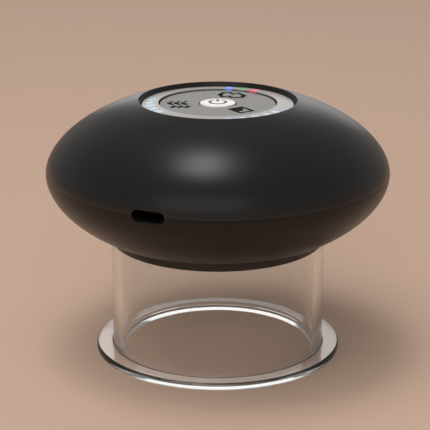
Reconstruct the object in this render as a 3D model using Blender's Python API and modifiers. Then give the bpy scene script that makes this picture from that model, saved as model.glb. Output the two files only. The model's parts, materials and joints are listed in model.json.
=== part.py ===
"""Electric cupping massager: a flattened round head that plugs into a clear suction cup.

Metres, +Z up. The origin is the centre of the cup's foot, on the surface that the cup stands on.
"""
import math

import bpy
import bmesh
from mathutils import Matrix, Vector
from mathutils.geometry import interpolate_bezier

# Gaps and steps shared by all pieces
SEAT_GAP = 0.0003
OVERRUN = 0.001
WELD_DISTANCE = 0.000001
HOUSING_STEPS = 36
SMALL_STEPS = 20
HOLE_SIDES = 8
POST_SIDES = 12
SMOOTH_ANGLE = 35

# Suction cup
CUP_RADIUS = 0.03065
CUP_WALL = 0.00275
CUP_HEIGHT = 0.0361
CUP_TOP_ROUND = 0.0005
FLANGE_RADIUS = 0.0355
FLANGE_THICKNESS = 0.0021
FLANGE_ROUND = 0.0004
FLANGE_FILLET = 0.0005
MOUTH_ROUND = 0.0004

# Head: two half shells whose outlines are flattened ovals turned about the axis
BODY_RADIUS = 0.0490
UPPER_POWER = 1.83
LOWER_POWER = 1.88
SHELL_WALL = 0.0023
UNDERSIDE_RADIUS = 0.0340
UNDERSIDE_ROUND = 0.0008
SEAM_GAP = 0.0003
TONGUE_THICKNESS = 0.0009
TONGUE_HEIGHT = 0.0016
OUTER_ARC_PIECES = 7
INNER_ARC_PIECES = 4

# Neck that plugs into the cup, and its seal
NECK_CLEARANCE = 0.0006
NECK_DEPTH = 0.0038
NECK_WALL = 0.0037
GROOVE_DEPTH = 0.0017
GROOVE_HEIGHT = 0.0026
GROOVE_LIP = 0.0008
LEDGE_WIDTH = 0.0012
NECK_CAVITY_DEPTH = 0.0056
FLOOR_THICKNESS = 0.0022
BULKHEAD_THICKNESS = 0.0018

# Panel on top: well, light ring, key plate and power button
RIM_RADIUS = 0.02247
RIM_SLOPE = 0.0006
RING_DROP = 0.0013
RING_RISE = 0.0006
RING_THICKNESS = 0.0013
RING_LIP = 0.0004
RING_WIDTH = 0.00572
WELL_WALL = 0.0007
SHELF_THICKNESS = 0.0028
KEY_PLATE_GAP = 0.00035
KEY_PLATE_DROP = 0.0005
KEY_PLATE_THICKNESS = 0.0014
KEY_PLATE_ROUND = 0.0002
KEY_POST_RADIUS = 0.0015
PRESS_TRAVEL = 0.00025
BUTTON_RADIUS = 0.00503
BUTTON_RISE = 0.00045
BUTTON_ROUND = 0.0004
BUTTON_LIP_WIDTH = 0.00117
BUTTON_LIP_THICKNESS = 0.0004
BUTTON_STEM_RADIUS = 0.0014

# Lights in the ring, in degrees round the axis from +X
LIGHT_WIDTH = 0.0016
LIGHT_ANGLE = 8.0
LIGHT_PITCH = 11.0
LEFT_LIGHTS_CENTRE = 195.0
RIGHT_LIGHTS_CENTRE = 301.5
MODE_LIGHTS_CENTRE = 67.0
MODE_LIGHTS_PITCH = 12.5
LEVEL_LIGHTS = 5
GUIDE_STEM_HEIGHT = 0.0021
LED_LENGTH = 0.0012
LED_HEIGHT = 0.0007
HEAT_KEY_ANGLE = 195.0
LEVEL_KEY_ANGLE = 305.0
MODE_KEY_ANGLE = 66.0

# Control board under the panel
CONTROL_BOARD_INSET = 0.00117
CONTROL_BOARD_THICKNESS = 0.0010
SWITCH_SIDE = 0.0042
SWITCH_HEIGHT = 0.0009
SWITCH_BUTTON_RADIUS = 0.0009
SWITCH_BUTTON_HEIGHT = 0.0004
BOARD_SCREW_INSET = 0.0024
BOARD_SCREW_ANGLES = (20.0, 130.0, 247.0)
BOARD_SCREW_HEAD_RADIUS = 0.0012
BOARD_SCREW_HEAD_HEIGHT = 0.0008
BOARD_SCREW_RADIUS = 0.0005
BOARD_SCREW_BITE = 0.0014

# Posts and screws that hold the two halves together
SCREW_ANGLES = (90.0, 210.0, 330.0)
POST_RADIUS = 0.0026
BOSS_RADIUS = 0.0032
SPIGOT_RADIUS = 0.0021
SCREW_RADIUS = 0.00085
SCREW_HEAD_RADIUS = 0.0016
SCREW_HEAD_HEIGHT = 0.0012
SCREW_SEAT_DEPTH = 0.0100
SCREW_LENGTH = 0.0094
SCREW_HOLE_SPARE = 0.0006

# Charging slot and socket on the seam, turned about the axis from the front
PORT_ANGLE = -22.1
SLOT_WIDTH = 0.0093
SLOT_HEIGHT = 0.0030
SOCKET_WIDTH = 0.00894
SOCKET_HEIGHT = 0.00326
SOCKET_LENGTH = 0.0073
SOCKET_SHELL = 0.0003
SOCKET_BACK = 0.0011
SOCKET_TONGUE_WIDTH = 0.0067
SOCKET_TONGUE_THICKNESS = 0.0007
SOCKET_TONGUE_LENGTH = 0.0048

# Main board and battery in the front half
MAIN_BOARD_THICKNESS = 0.0012
MAIN_BOARD_MARGIN = 0.0010
MAIN_BOARD_CHORD = 0.0100
PILLAR_RADIUS = 0.0020
PILLAR_INSET = 0.0066
BATTERY_LENGTH = 0.0420
BATTERY_WIDTH = 0.0165
BATTERY_THICKNESS = 0.0100
BATTERY_ROUND = 0.0015
BATTERY_MARGIN = 0.0010
PAD_THICKNESS = 0.0010
PAD_INSET = 0.0020
CHIP_SIDE = 0.0060
CHIP_HEIGHT = 0.0010
COIL_RADIUS = 0.0028
COIL_HEIGHT = 0.0026
BOARD_PART_SIDE_SHARE = 0.20
BOARD_PART_FRONT_SHARE = 0.62

# Vacuum pump lying across the back half, level with the seam; the panel lies over it
PUMP_PORT_CLEARANCE = 0.0006
PUMP_FLOOR_CLEARANCE = 0.00336
PANEL_CLEARANCE = 0.00355
PUMP_BACK_SHARE = 0.27
MOTOR_NEAREST_ANGLE = 60
MOTOR_RADIUS = 0.0100
MOTOR_LENGTH = 0.0250
MOTOR_NOSE_RADIUS = 0.0034
MOTOR_NOSE_LENGTH = 0.0015
MOTOR_BEARING_DEPTH = 0.0070
SHAFT_RADIUS = 0.0010
PUMP_SIDE = 0.0200
PUMP_CORNER = 0.0020
CRANK_BOX_WALL = 0.0018
CHAMBER_RADIUS = 0.0080
WHEEL_RADIUS = 0.0060
WHEEL_THICKNESS = 0.0035
WHEEL_BORE_DEPTH = 0.0023
WHEEL_CLEARANCE = 0.0005
CRANK_PIN_RADIUS = 0.0008
CRANK_PIN_OFFSET = 0.0012
CRANK_PIN_LENGTH = 0.0022
WOBBLE_RADIUS = 0.0065
WOBBLE_THICKNESS = 0.0012
WOBBLE_HUB_RADIUS = 0.0036
WOBBLE_HUB_RISE = 0.0010
DIAPHRAGM_SHEET = 0.0008
DIAPHRAGM_CUP_RADIUS = 0.0027
DIAPHRAGM_CUP_DEPTH = 0.0028
DIAPHRAGM_WALL = 0.0005
DIAPHRAGM_CUP_CIRCLE = 0.0045
DIAPHRAGM_CUPS = 3
VALVE_PLATE_THICKNESS = 0.0018
VALVE_HOLE_RADIUS = 0.0006
CAP_LENGTH = 0.0045
CAP_HOLLOW_RADIUS = 0.0065
CAP_HOLLOW_DEPTH = 0.0025
NOZZLE_OFFSET = 0.0050
SADDLE_WIDTH = 0.0120
SADDLE_THICKNESS = 0.0040
SADDLE_WRAP = 0.0030
SADDLE_PLACE = 0.0170

# Barbs and hoses
BARB_RADIUS = 0.0014
BARB_BORE = 0.0008
BARB_LENGTH = 0.0040
HOSE_WALL = 0.0008
HOSE_GRIP = 0.0030
HOSE_BEVEL_STEPS = 2
HOSE_POINTS = 12
HOSE_LOOP_SHARE = 0.67
HOSE_STRAIGHT = 0.0040

# Suction port through the floor, with the filter in the treatment plate
PORT_RADIUS = 0.0042
PORT_BORE = 0.0022
PORT_FLANGE_RADIUS = 0.0065
PORT_FLANGE_THICKNESS = 0.0012
PORT_CAP = 0.0015
PORT_CROWN = 0.0029
FILTER_RADIUS = 0.0030
FILTER_HOLE_RADIUS = 0.00055
FILTER_HOLE_CIRCLE = 0.0016
FILTER_HOLES = 6

# Release valve left of the port
VALVE_TIP_GAP = 0.0020
VALVE_OFFSET = -0.0025
VALVE_LENGTH = 0.0110
VALVE_WIDTH = 0.0090
VALVE_BODY_HEIGHT = 0.0056
VALVE_WELL_DEPTH = 0.0019
YOKE_THICKNESS = 0.0010
YOKE_HEIGHT = 0.0120
COIL_OUTER_RADIUS = 0.0042
PLUNGER_RADIUS = 0.0020
PLUNGER_TRAVEL = 0.0012
PLUNGER_POCKET_RADIUS = 0.0012
PLUNGER_POCKET_DEPTH = 0.0035
SPRING_RADIUS = 0.00070
SPRING_WIRE = 0.00015
SPRING_TURNS = 5
SPRING_POINTS = 8
SPRING_BEVEL_STEPS = 1

# Treatment head in the neck
PLATE_RECESS = 0.0003
PLATE_THICKNESS = 0.0012
PLATE_ROUND = 0.0004
WINDOW_THICKNESS = 0.0010
TREATMENT_BOARD_THICKNESS = 0.0010
TREATMENT_LIGHTS = 6
TREATMENT_LIGHT_CIRCLE = 0.0140
TREATMENT_LIGHT_HOLE = 0.0020
TREATMENT_LED_SIDE = 0.0020

# Levels that follow from the sizes above
CUP_BORE = CUP_RADIUS - CUP_WALL
UNDERSIDE_Z = CUP_HEIGHT + SEAT_GAP
NECK_RADIUS = CUP_BORE - NECK_CLEARANCE
NECK_BOTTOM = UNDERSIDE_Z - NECK_DEPTH
NECK_BORE = NECK_RADIUS - NECK_WALL
LEDGE_BORE = NECK_BORE - LEDGE_WIDTH
GROOVE_TOP = NECK_BOTTOM + GROOVE_LIP + GROOVE_HEIGHT
BULKHEAD_UNDER = NECK_BOTTOM + NECK_CAVITY_DEPTH
BULKHEAD_TOP = BULKHEAD_UNDER + BULKHEAD_THICKNESS
FLOOR_TOP = UNDERSIDE_Z + FLOOR_THICKNESS


def oval_height(radius, reach, rise, power):
    """Height of a flattened oval over its widest line, at a radius."""
    return rise * (1 - (radius / reach) ** power) ** (1 / power)


def oval_radius(height, reach, rise, power):
    """Radius of a flattened oval, at a height over its widest line."""
    return reach * (1 - (height / rise) ** power) ** (1 / power)


def oval_arc(reach, rise, power, start_radius, end_radius, pieces):
    """Points (radius, height) along a flattened oval between two radii."""
    start = math.acos(min(start_radius / reach, 1) ** (power / 2))
    end = math.acos(min(end_radius / reach, 1) ** (power / 2))
    points = []
    for step in range(pieces + 1):
        turn = start + (end - start) * step / pieces
        radius = reach * max(math.cos(turn), 0) ** (2 / power)
        height = rise * max(math.sin(turn), 0) ** (2 / power)
        points.append((radius, height))
    return points


# Levels of the panel, from the pump's top upwards
PUMP_Z = BULKHEAD_TOP + PUMP_FLOOR_CLEARANCE + MOTOR_RADIUS
CONTROL_BOARD_UNDER = PUMP_Z + PUMP_SIDE / 2 + PANEL_CLEARANCE
CONTROL_BOARD_TOP = CONTROL_BOARD_UNDER + CONTROL_BOARD_THICKNESS
SHELF_UNDER = CONTROL_BOARD_TOP + SEAT_GAP
SHELF_TOP = SHELF_UNDER + SHELF_THICKNESS
RING_UNDER_Z = SHELF_TOP + SEAT_GAP
RING_EDGE_Z = RING_UNDER_Z + RING_THICKNESS
RING_TOP_Z = RING_EDGE_Z + RING_RISE
RIM_Z = RING_EDGE_Z + RING_DROP
WELL_WALL_TOP = RING_TOP_Z - RING_LIP - SEAT_GAP
KEY_PLATE_TOP = RING_TOP_Z - KEY_PLATE_DROP
KEY_PLATE_UNDER = KEY_PLATE_TOP - KEY_PLATE_THICKNESS
BUTTON_TOP = KEY_PLATE_TOP + BUTTON_RISE
SWITCH_TOP = CONTROL_BOARD_TOP + SEAT_GAP + SWITCH_HEIGHT + SWITCH_BUTTON_HEIGHT

# Radii of the panel, from the rim inwards
RING_RADIUS = RIM_RADIUS - RIM_SLOPE - SEAT_GAP
RING_INNER_RADIUS = RIM_RADIUS - RING_WIDTH
LIGHT_RADIUS = (RING_RADIUS + RING_INNER_RADIUS) / 2
KEY_PLATE_RADIUS = RING_INNER_RADIUS - KEY_PLATE_GAP
KEY_CIRCLE_RADIUS = (KEY_PLATE_RADIUS + BUTTON_RADIUS) / 2
CONTROL_BOARD_RADIUS = RIM_RADIUS - CONTROL_BOARD_INSET
BOARD_SCREW_CIRCLE = CONTROL_BOARD_RADIUS - BOARD_SCREW_INSET
BUTTON_LIP_RADIUS = BUTTON_RADIUS + BUTTON_LIP_WIDTH

# The two ovals meet at the seam, level with the pump; one passes through the rim, one through the
# underside's edge
SEAM_Z = PUMP_Z
UPPER_RISE = (RIM_Z - SEAM_Z) / oval_height(RIM_RADIUS, BODY_RADIUS, 1, UPPER_POWER)
LOWER_DROP = (SEAM_Z - UNDERSIDE_Z) / oval_height(UNDERSIDE_RADIUS, BODY_RADIUS, 1, LOWER_POWER)
INNER_REACH = BODY_RADIUS - SHELL_WALL
INNER_RISE = UPPER_RISE - SHELL_WALL
INNER_DROP = LOWER_DROP - SHELL_WALL

# Places of what the housing holds
SOCKET_UNDER = SEAM_Z - SOCKET_HEIGHT / 2
MAIN_BOARD_TOP = SOCKET_UNDER - SEAT_GAP
MAIN_BOARD_UNDER = MAIN_BOARD_TOP - MAIN_BOARD_THICKNESS
MAIN_BOARD_REACH = oval_radius(SEAM_Z - MAIN_BOARD_UNDER, INNER_REACH, INNER_DROP, LOWER_POWER)
MAIN_BOARD_RADIUS = MAIN_BOARD_REACH - MAIN_BOARD_MARGIN
SCREW_SEAT = UNDERSIDE_Z + SCREW_SEAT_DEPTH
PUMP_OFFSET = PORT_RADIUS + PUMP_PORT_CLEARANCE + PUMP_SIDE / 2
SCREW_CIRCLE = max(CUP_BORE + CUP_WALL / 2, PUMP_OFFSET + PUMP_SIDE / 2 + BOSS_RADIUS + SEAT_GAP)
SOCKET_WALL_REACH = oval_radius(SOCKET_HEIGHT / 2, INNER_REACH, INNER_DROP, LOWER_POWER)
SOCKET_FLAT_REACH = SOCKET_WALL_REACH * math.cos(math.pi / HOUSING_STEPS) - SEAT_GAP
SOCKET_MOUTH = math.sqrt(SOCKET_FLAT_REACH ** 2 - (SOCKET_WIDTH / 2) ** 2)
SOCKET_END = SOCKET_MOUTH - SOCKET_LENGTH
HOSE_BORE = BARB_RADIUS + SEAT_GAP
HOSE_RADIUS = HOSE_BORE + HOSE_WALL
PORT_BARB_Z = BULKHEAD_TOP + PORT_FLANGE_THICKNESS + HOSE_RADIUS + 2 * SEAT_GAP
PORT_TOP = PORT_BARB_Z + PORT_CROWN
PORT_BARB_END = PORT_RADIUS + BARB_LENGTH
VALVE_X = -(PORT_BARB_END + VALVE_TIP_GAP + BARB_LENGTH + VALVE_LENGTH / 2)

# Places along the pump's own axis, from the back of its motor
MOTOR_BORE = SHAFT_RADIUS + SEAT_GAP
CRANK_BOX_START = MOTOR_LENGTH + SEAT_GAP
WHEEL_START = CRANK_BOX_START + CRANK_BOX_WALL + WHEEL_CLEARANCE
WHEEL_END = WHEEL_START + WHEEL_THICKNESS
WOBBLE_START = WHEEL_END + SEAT_GAP
WOBBLE_END = WOBBLE_START + WOBBLE_HUB_RISE + WOBBLE_THICKNESS
CUPS_START = WOBBLE_END + SEAT_GAP
SHEET_START = CUPS_START + DIAPHRAGM_CUP_DEPTH
CRANK_BOX_END = SHEET_START - SEAT_GAP
SHEET_END = SHEET_START + DIAPHRAGM_SHEET
VALVE_PLATE_START = SHEET_END + SEAT_GAP
VALVE_PLATE_END = VALVE_PLATE_START + VALVE_PLATE_THICKNESS
CAP_START = VALVE_PLATE_END + SEAT_GAP
CAP_END = CAP_START + CAP_LENGTH
NOZZLE_END = CAP_END + BARB_LENGTH

# The pump and its hose share out the room across the head: behind the motor, and for the hose's loop
MOTOR_RIM_RISE = MOTOR_RADIUS * math.sin(math.radians(MOTOR_NEAREST_ANGLE))
MOTOR_RIM_Y = PUMP_OFFSET + MOTOR_RADIUS * math.cos(math.radians(MOTOR_NEAREST_ANGLE))
MOTOR_RIM_REACH = oval_radius(MOTOR_RIM_RISE, INNER_REACH, INNER_RISE, UPPER_POWER)
PUMP_BACK_LIMIT = math.sqrt(MOTOR_RIM_REACH ** 2 - MOTOR_RIM_Y ** 2)
PUMP_ROOM = PUMP_BACK_LIMIT + INNER_REACH - NOZZLE_END - HOSE_STRAIGHT - HOSE_RADIUS
PUMP_START = PUMP_BACK_SHARE * PUMP_ROOM - PUMP_BACK_LIMIT
HOSE_LOOP = HOSE_LOOP_SHARE * PUMP_ROOM


def clear_scene():
    """Remove every object and the collections that held them."""
    for item in list(bpy.data.objects):
        bpy.data.objects.remove(item, do_unlink=True)
    for group in list(bpy.data.collections):
        bpy.data.collections.remove(group)


def new_collection(name):
    """Make a collection in the scene."""
    group = bpy.data.collections.new(name)
    bpy.context.scene.collection.children.link(group)
    return group


clear_scene()
PIECES = new_collection("cupping_massager")
CUTTERS = new_collection("cutters")


def material(name, colour, roughness, metallic=0.0, clear=0.0, glow=0.0):
    """Make a plain material; clear lets light through and glow gives light."""
    made = bpy.data.materials.new(name)
    made.use_nodes = True
    shader = made.node_tree.nodes["Principled BSDF"]
    shader.inputs["Base Color"].default_value = (*colour, 1.0)
    shader.inputs["Roughness"].default_value = roughness
    shader.inputs["Metallic"].default_value = metallic
    shader.inputs["Transmission Weight"].default_value = clear
    shader.inputs["Emission Color"].default_value = (*colour, 1.0)
    shader.inputs["Emission Strength"].default_value = glow
    return made


BLACK_PLASTIC = material("black_plastic", (0.012, 0.011, 0.010), 0.42)
CLEAR_PLASTIC = material("clear_plastic", (0.95, 0.95, 0.95), 0.03, clear=1.0)
BLACK_RUBBER = material("black_rubber", (0.010, 0.010, 0.010), 0.60)
PALE_DIFFUSER = material("pale_diffuser", (0.52, 0.50, 0.48), 0.35)
GREY_METAL_PAINT = material("grey_metal_paint", (0.27, 0.25, 0.24), 0.40, metallic=0.3)
SILVER = material("silver", (0.85, 0.84, 0.82), 0.22, metallic=0.6)
BLUE_WHITE_LIGHT = material("blue_white_light", (0.45, 0.72, 0.95), 0.40, glow=1.0)
BLUE_LIGHT = material("blue_light", (0.10, 0.25, 0.90), 0.40, glow=1.0)
GREEN_LIGHT = material("green_light", (0.05, 0.60, 0.10), 0.40, glow=1.0)
RED_LIGHT = material("red_light", (0.90, 0.05, 0.06), 0.40, glow=1.0)
CIRCUIT_BOARD = material("circuit_board", (0.02, 0.10, 0.05), 0.50)
STEEL = material("steel", (0.55, 0.55, 0.56), 0.30, metallic=1.0)
COPPER = material("copper", (0.75, 0.35, 0.18), 0.35, metallic=1.0)
CHIP_RESIN = material("chip_resin", (0.02, 0.02, 0.02), 0.60)
BATTERY_FILM = material("battery_film", (0.60, 0.61, 0.63), 0.30, metallic=0.7)
FOAM = material("foam", (0.08, 0.08, 0.08), 0.95)
WHITE_PLASTIC = material("white_plastic", (0.75, 0.74, 0.70), 0.45)
SILICONE = material("silicone", (0.80, 0.80, 0.78), 0.40)
ALUMINIUM = material("aluminium", (0.78, 0.78, 0.79), 0.30, metallic=1.0)
RED_WINDOW = material("red_window", (0.55, 0.04, 0.03), 0.15)


def smooth(mesh):
    """Shade round faces smooth and keep the sharp edges."""
    mesh.shade_smooth()
    mesh.set_sharp_from_angle(angle=math.radians(SMOOTH_ANGLE))


def add_piece(name, mesh, look, parent=None):
    """Put a mesh in the scene as one named piece."""
    smooth(mesh)
    piece = bpy.data.objects.new(name, mesh)
    mesh.materials.append(look)
    PIECES.objects.link(piece)
    piece.parent = parent
    return piece


def add_guide(name, mesh, parent=None):
    """Put a mesh in the scene as a cutter or a guide, which isn't a piece."""
    guide = bpy.data.objects.new(name, mesh)
    CUTTERS.objects.link(guide)
    guide.parent = parent
    guide.hide_render = True
    guide.display_type = "WIRE"
    return guide


def add_axis(name, place=(0, 0, 0), turn=(0, 0, 0)):
    """Make an empty whose local Z is the axis that its pieces follow."""
    axis = bpy.data.objects.new(name, None)
    PIECES.objects.link(axis)
    axis.location = place
    axis.rotation_euler = [math.radians(angle) for angle in turn]
    return axis


def combine(piece, other, operation):
    """Cut, join or clip a piece with another solid."""
    step = piece.modifiers.new(operation.lower() + "_" + other.name, "BOOLEAN")
    step.operation = operation
    step.solver = "EXACT"
    step.object = other
    return piece


def cut(piece, cutter):
    """Cut a solid out of a piece."""
    return combine(piece, cutter, "DIFFERENCE")


def join(piece, other):
    """Grow a piece by another solid."""
    return combine(piece, other, "UNION")


def round_edges(piece, width, segments=2, angle=40):
    """Round the sharp edges of a piece."""
    step = piece.modifiers.new("round_edges", "BEVEL")
    step.width = width
    step.segments = segments
    step.limit_method = "ANGLE"
    step.angle_limit = math.radians(angle)
    return piece


def profile_mesh(name, points, closed):
    """Make a line of edges in the XZ plane from (radius, height) points."""
    mesh = bpy.data.meshes.new(name)
    count = len(points)
    edges = [(index, index + 1) for index in range(count - 1)]
    if closed:
        edges.append((count - 1, 0))
    mesh.from_pydata([(radius, 0, height) for radius, height in points], edges, [])
    return mesh


def turn_profile(piece, steps):
    """Turn a piece's profile a full circle about its own Z axis."""
    step = piece.modifiers.new("turn", "SCREW")
    step.axis = "Z"
    step.angle = math.radians(360)
    step.steps = steps
    step.render_steps = steps
    step.use_merge_vertices = True
    step.merge_threshold = WELD_DISTANCE
    step.use_smooth_shade = True
    return piece


def turned_piece(name, points, look, closed=True, steps=SMALL_STEPS, parent=None):
    """Make a turned piece; a closed profile leaves a hole along the axis."""
    return turn_profile(add_piece(name, profile_mesh(name, points, closed), look, parent), steps)


def turned_guide(name, points, closed=False, steps=SMALL_STEPS, parent=None):
    """Make a turned cutter or guide."""
    return turn_profile(add_guide(name, profile_mesh(name, points, closed), parent), steps)


def rod_profile(radius, bottom, top):
    """Half outline of a plain rod, from the top of its axis to the bottom."""
    return [(0, top), (radius, top), (radius, bottom), (0, bottom)]


def tube_profile(outer, inner, bottom, top):
    """Outline of a plain tube's wall, down its outer side first."""
    return [(outer, top), (outer, bottom), (inner, bottom), (inner, top)]


def rods_mesh(name, radius, places, bottom, top, sides=SMALL_STEPS):
    """Make equal upright rods at several places as one mesh."""
    work = bmesh.new()
    for x, y in places:
        made = bmesh.ops.create_cone(
            work, cap_ends=True, segments=sides, radius1=radius, radius2=radius, depth=top - bottom)
        bmesh.ops.translate(work, verts=made["verts"], vec=(x, y, (top + bottom) / 2))
    mesh = bpy.data.meshes.new(name)
    work.to_mesh(mesh)
    work.free()
    return mesh


def boxes_mesh(name, sizes, places, turns=None):
    """Make boxes of given sizes, centred on places and turned about Z, as one mesh."""
    work = bmesh.new()
    for index, (size, place) in enumerate(zip(sizes, places)):
        made = bmesh.ops.create_cube(work, size=1)
        bmesh.ops.scale(work, verts=made["verts"], vec=size)
        if turns:
            turn = Matrix.Rotation(math.radians(turns[index]), 3, "Z")
            bmesh.ops.rotate(work, verts=made["verts"], cent=(0, 0, 0), matrix=turn)
        bmesh.ops.translate(work, verts=made["verts"], vec=place)
    mesh = bpy.data.meshes.new(name)
    work.to_mesh(mesh)
    work.free()
    return mesh


def around(radius, angles):
    """Places (x, y) on a circle at angles in degrees from +X."""
    return [(radius * math.cos(math.radians(angle)), radius * math.sin(math.radians(angle)))
            for angle in angles]


def outline_mesh(name, outlines, bottom, top):
    """Make flat outlines, filled and extruded between two heights, as one mesh."""
    curve = bpy.data.curves.new(name, "CURVE")
    curve.dimensions = "2D"
    curve.fill_mode = "BOTH"
    curve.extrude = (top - bottom) / 2
    for points in outlines:
        spline = curve.splines.new("POLY")
        spline.points.add(len(points[1:]))
        for point, (x, y) in zip(spline.points, points):
            point.co = (x, y, 0, 1)
        spline.use_cyclic_u = True
    mesh = welded_copy(curve)
    mesh.name = name
    for vertex in mesh.vertices:
        vertex.co.z += (top + bottom) / 2
    return mesh


def welded_copy(curve):
    """Turn a curve into a closed mesh and remove the curve."""
    holder = bpy.data.objects.new("holder", curve)
    bpy.context.scene.collection.objects.link(holder)
    ready = holder.evaluated_get(bpy.context.evaluated_depsgraph_get())
    mesh = bpy.data.meshes.new_from_object(ready)
    bpy.data.objects.remove(holder, do_unlink=True)
    bpy.data.curves.remove(curve)
    work = bmesh.new()
    work.from_mesh(mesh)
    bmesh.ops.remove_doubles(work, verts=work.verts, dist=WELD_DISTANCE)
    bmesh.ops.recalc_face_normals(work, faces=work.faces)
    work.to_mesh(mesh)
    work.free()
    return mesh


def tube_mesh(name, points, radius, bevel_steps):
    """Make a round tube with filled ends along points."""
    curve = bpy.data.curves.new(name, "CURVE")
    curve.dimensions = "3D"
    curve.bevel_depth = radius
    curve.bevel_resolution = bevel_steps
    curve.use_fill_caps = True
    spline = curve.splines.new("POLY")
    spline.points.add(len(points[1:]))
    for point, place in zip(spline.points, points):
        point.co = (*place, 1)
    mesh = welded_copy(curve)
    mesh.name = name
    return mesh


def sector(inner, outer, start, end, pieces=3):
    """Outline of a piece of a ring between two radii and two angles in degrees."""
    angles = [start + (end - start) * step / pieces for step in range(pieces + 1)]
    return around(outer, angles) + around(inner, reversed(angles))


def stadium(width, height, pieces=6):
    """Outline of a slot with round ends."""
    radius = height / 2
    points = []
    for side in (1, -1):
        for step in range(pieces + 1):
            turn = math.radians(-90 + 180 * step / pieces)
            points.append((side * (width / 2 - radius + radius * math.cos(turn)),
                           side * radius * math.sin(turn)))
    return points


def rounded_rectangle(width, height, radius, pieces=3):
    """Outline of a rectangle with round corners."""
    points = []
    for corner in range(4):
        x = (width / 2 - radius) * (1 if corner in (0, 3) else -1)
        y = (height / 2 - radius) * (1 if corner in (0, 1) else -1)
        for step in range(pieces + 1):
            turn = math.radians(90 * corner + 90 * step / pieces)
            points.append((x + radius * math.cos(turn), y + radius * math.sin(turn)))
    return points


def quarter_arc(centre, radius, start, end, pieces):
    """Points of an arc between two angles in degrees."""
    points = []
    for step in range(pieces + 1):
        turn = math.radians(start + (end - start) * step / pieces)
        points.append((centre[0] + radius * math.cos(turn), centre[1] + radius * math.sin(turn)))
    return points


# Suction cup
def build_cup():
    """Clear cup: straight tube with a wide flat flange at its foot."""
    points = []
    points += quarter_arc((CUP_RADIUS - CUP_TOP_ROUND, CUP_HEIGHT - CUP_TOP_ROUND), CUP_TOP_ROUND, 90, 0, 1)
    fillet_centre = (CUP_RADIUS + FLANGE_FILLET, FLANGE_THICKNESS + FLANGE_FILLET)
    points += quarter_arc(fillet_centre, FLANGE_FILLET, 180, 270, 2)
    edge = FLANGE_RADIUS - FLANGE_ROUND
    points += quarter_arc((edge, FLANGE_THICKNESS - FLANGE_ROUND), FLANGE_ROUND, 90, 0, 1)
    points += quarter_arc((edge, FLANGE_ROUND), FLANGE_ROUND, 0, -90, 1)
    points += quarter_arc((CUP_BORE + MOUTH_ROUND, MOUTH_ROUND), MOUTH_ROUND, 270, 180, 1)
    points += quarter_arc((CUP_BORE + CUP_TOP_ROUND, CUP_HEIGHT - CUP_TOP_ROUND), CUP_TOP_ROUND, 180, 90, 1)
    return turned_piece("suction_cup", points, CLEAR_PLASTIC, steps=HOUSING_STEPS)


# Housing halves
def mid_wall_guide(head):
    """Solid that fills the head to the middle of its wall, which clips posts and bosses."""
    inset = SHELL_WALL / 2
    upper = oval_arc(BODY_RADIUS - inset, UPPER_RISE - inset, UPPER_POWER, 0,
                     BODY_RADIUS - inset, OUTER_ARC_PIECES)
    lower = oval_arc(BODY_RADIUS - inset, LOWER_DROP - inset, LOWER_POWER, BODY_RADIUS - inset,
                     UNDERSIDE_RADIUS, OUTER_ARC_PIECES)
    floor = UNDERSIDE_Z + inset
    points = [(radius, SEAM_Z + height) for radius, height in upper]
    points += [(radius, max(SEAM_Z - height, floor)) for radius, height in lower[1:]]
    points.append((0, floor))
    return turned_guide("mid_wall", points, steps=HOUSING_STEPS, parent=head)


def slot_cutter(port, name):
    """Charging slot with round ends through the wall, on the seam."""
    mesh = outline_mesh(name, [stadium(SLOT_WIDTH, SLOT_HEIGHT)],
                        INNER_REACH - SLOT_HEIGHT, BODY_RADIUS + OVERRUN)
    cutter = add_guide(name, mesh, port)
    cutter.rotation_euler = (math.radians(90), 0, 0)
    return cutter


def screw_places():
    """Places of the housing screws on their circle."""
    return around(SCREW_CIRCLE, SCREW_ANGLES)


def all_light_angles():
    """Angles of every light in the ring, group by group."""
    return {
        "left": spread(LEFT_LIGHTS_CENTRE, LIGHT_PITCH, LEVEL_LIGHTS),
        "right": spread(RIGHT_LIGHTS_CENTRE, LIGHT_PITCH, LEVEL_LIGHTS),
        "mode": spread(MODE_LIGHTS_CENTRE, MODE_LIGHTS_PITCH, 3),
    }


def spread(centre, pitch, count):
    """Angles spread evenly about a centre."""
    return [centre + pitch * (index - (count - 1) / 2) for index in range(count)]


def light_outlines(angles, side_gap):
    """Outlines of lights at given angles, grown by a gap on every side."""
    inner = LIGHT_RADIUS - LIGHT_WIDTH / 2 - side_gap
    outer = LIGHT_RADIUS + LIGHT_WIDTH / 2 + side_gap
    half = LIGHT_ANGLE / 2 + math.degrees(side_gap / LIGHT_RADIUS)
    return [sector(inner, outer, angle - half, angle + half) for angle in angles]


def stem_outline(angles, side_gap):
    """Outline of the strip under one group of lights."""
    inner = LIGHT_RADIUS - LIGHT_WIDTH / 2 - side_gap
    outer = LIGHT_RADIUS + LIGHT_WIDTH / 2 + side_gap
    half = LIGHT_ANGLE / 2 + math.degrees(side_gap / LIGHT_RADIUS)
    return sector(inner, outer, min(angles) - half, max(angles) + half, pieces=3 * len(angles))


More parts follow.
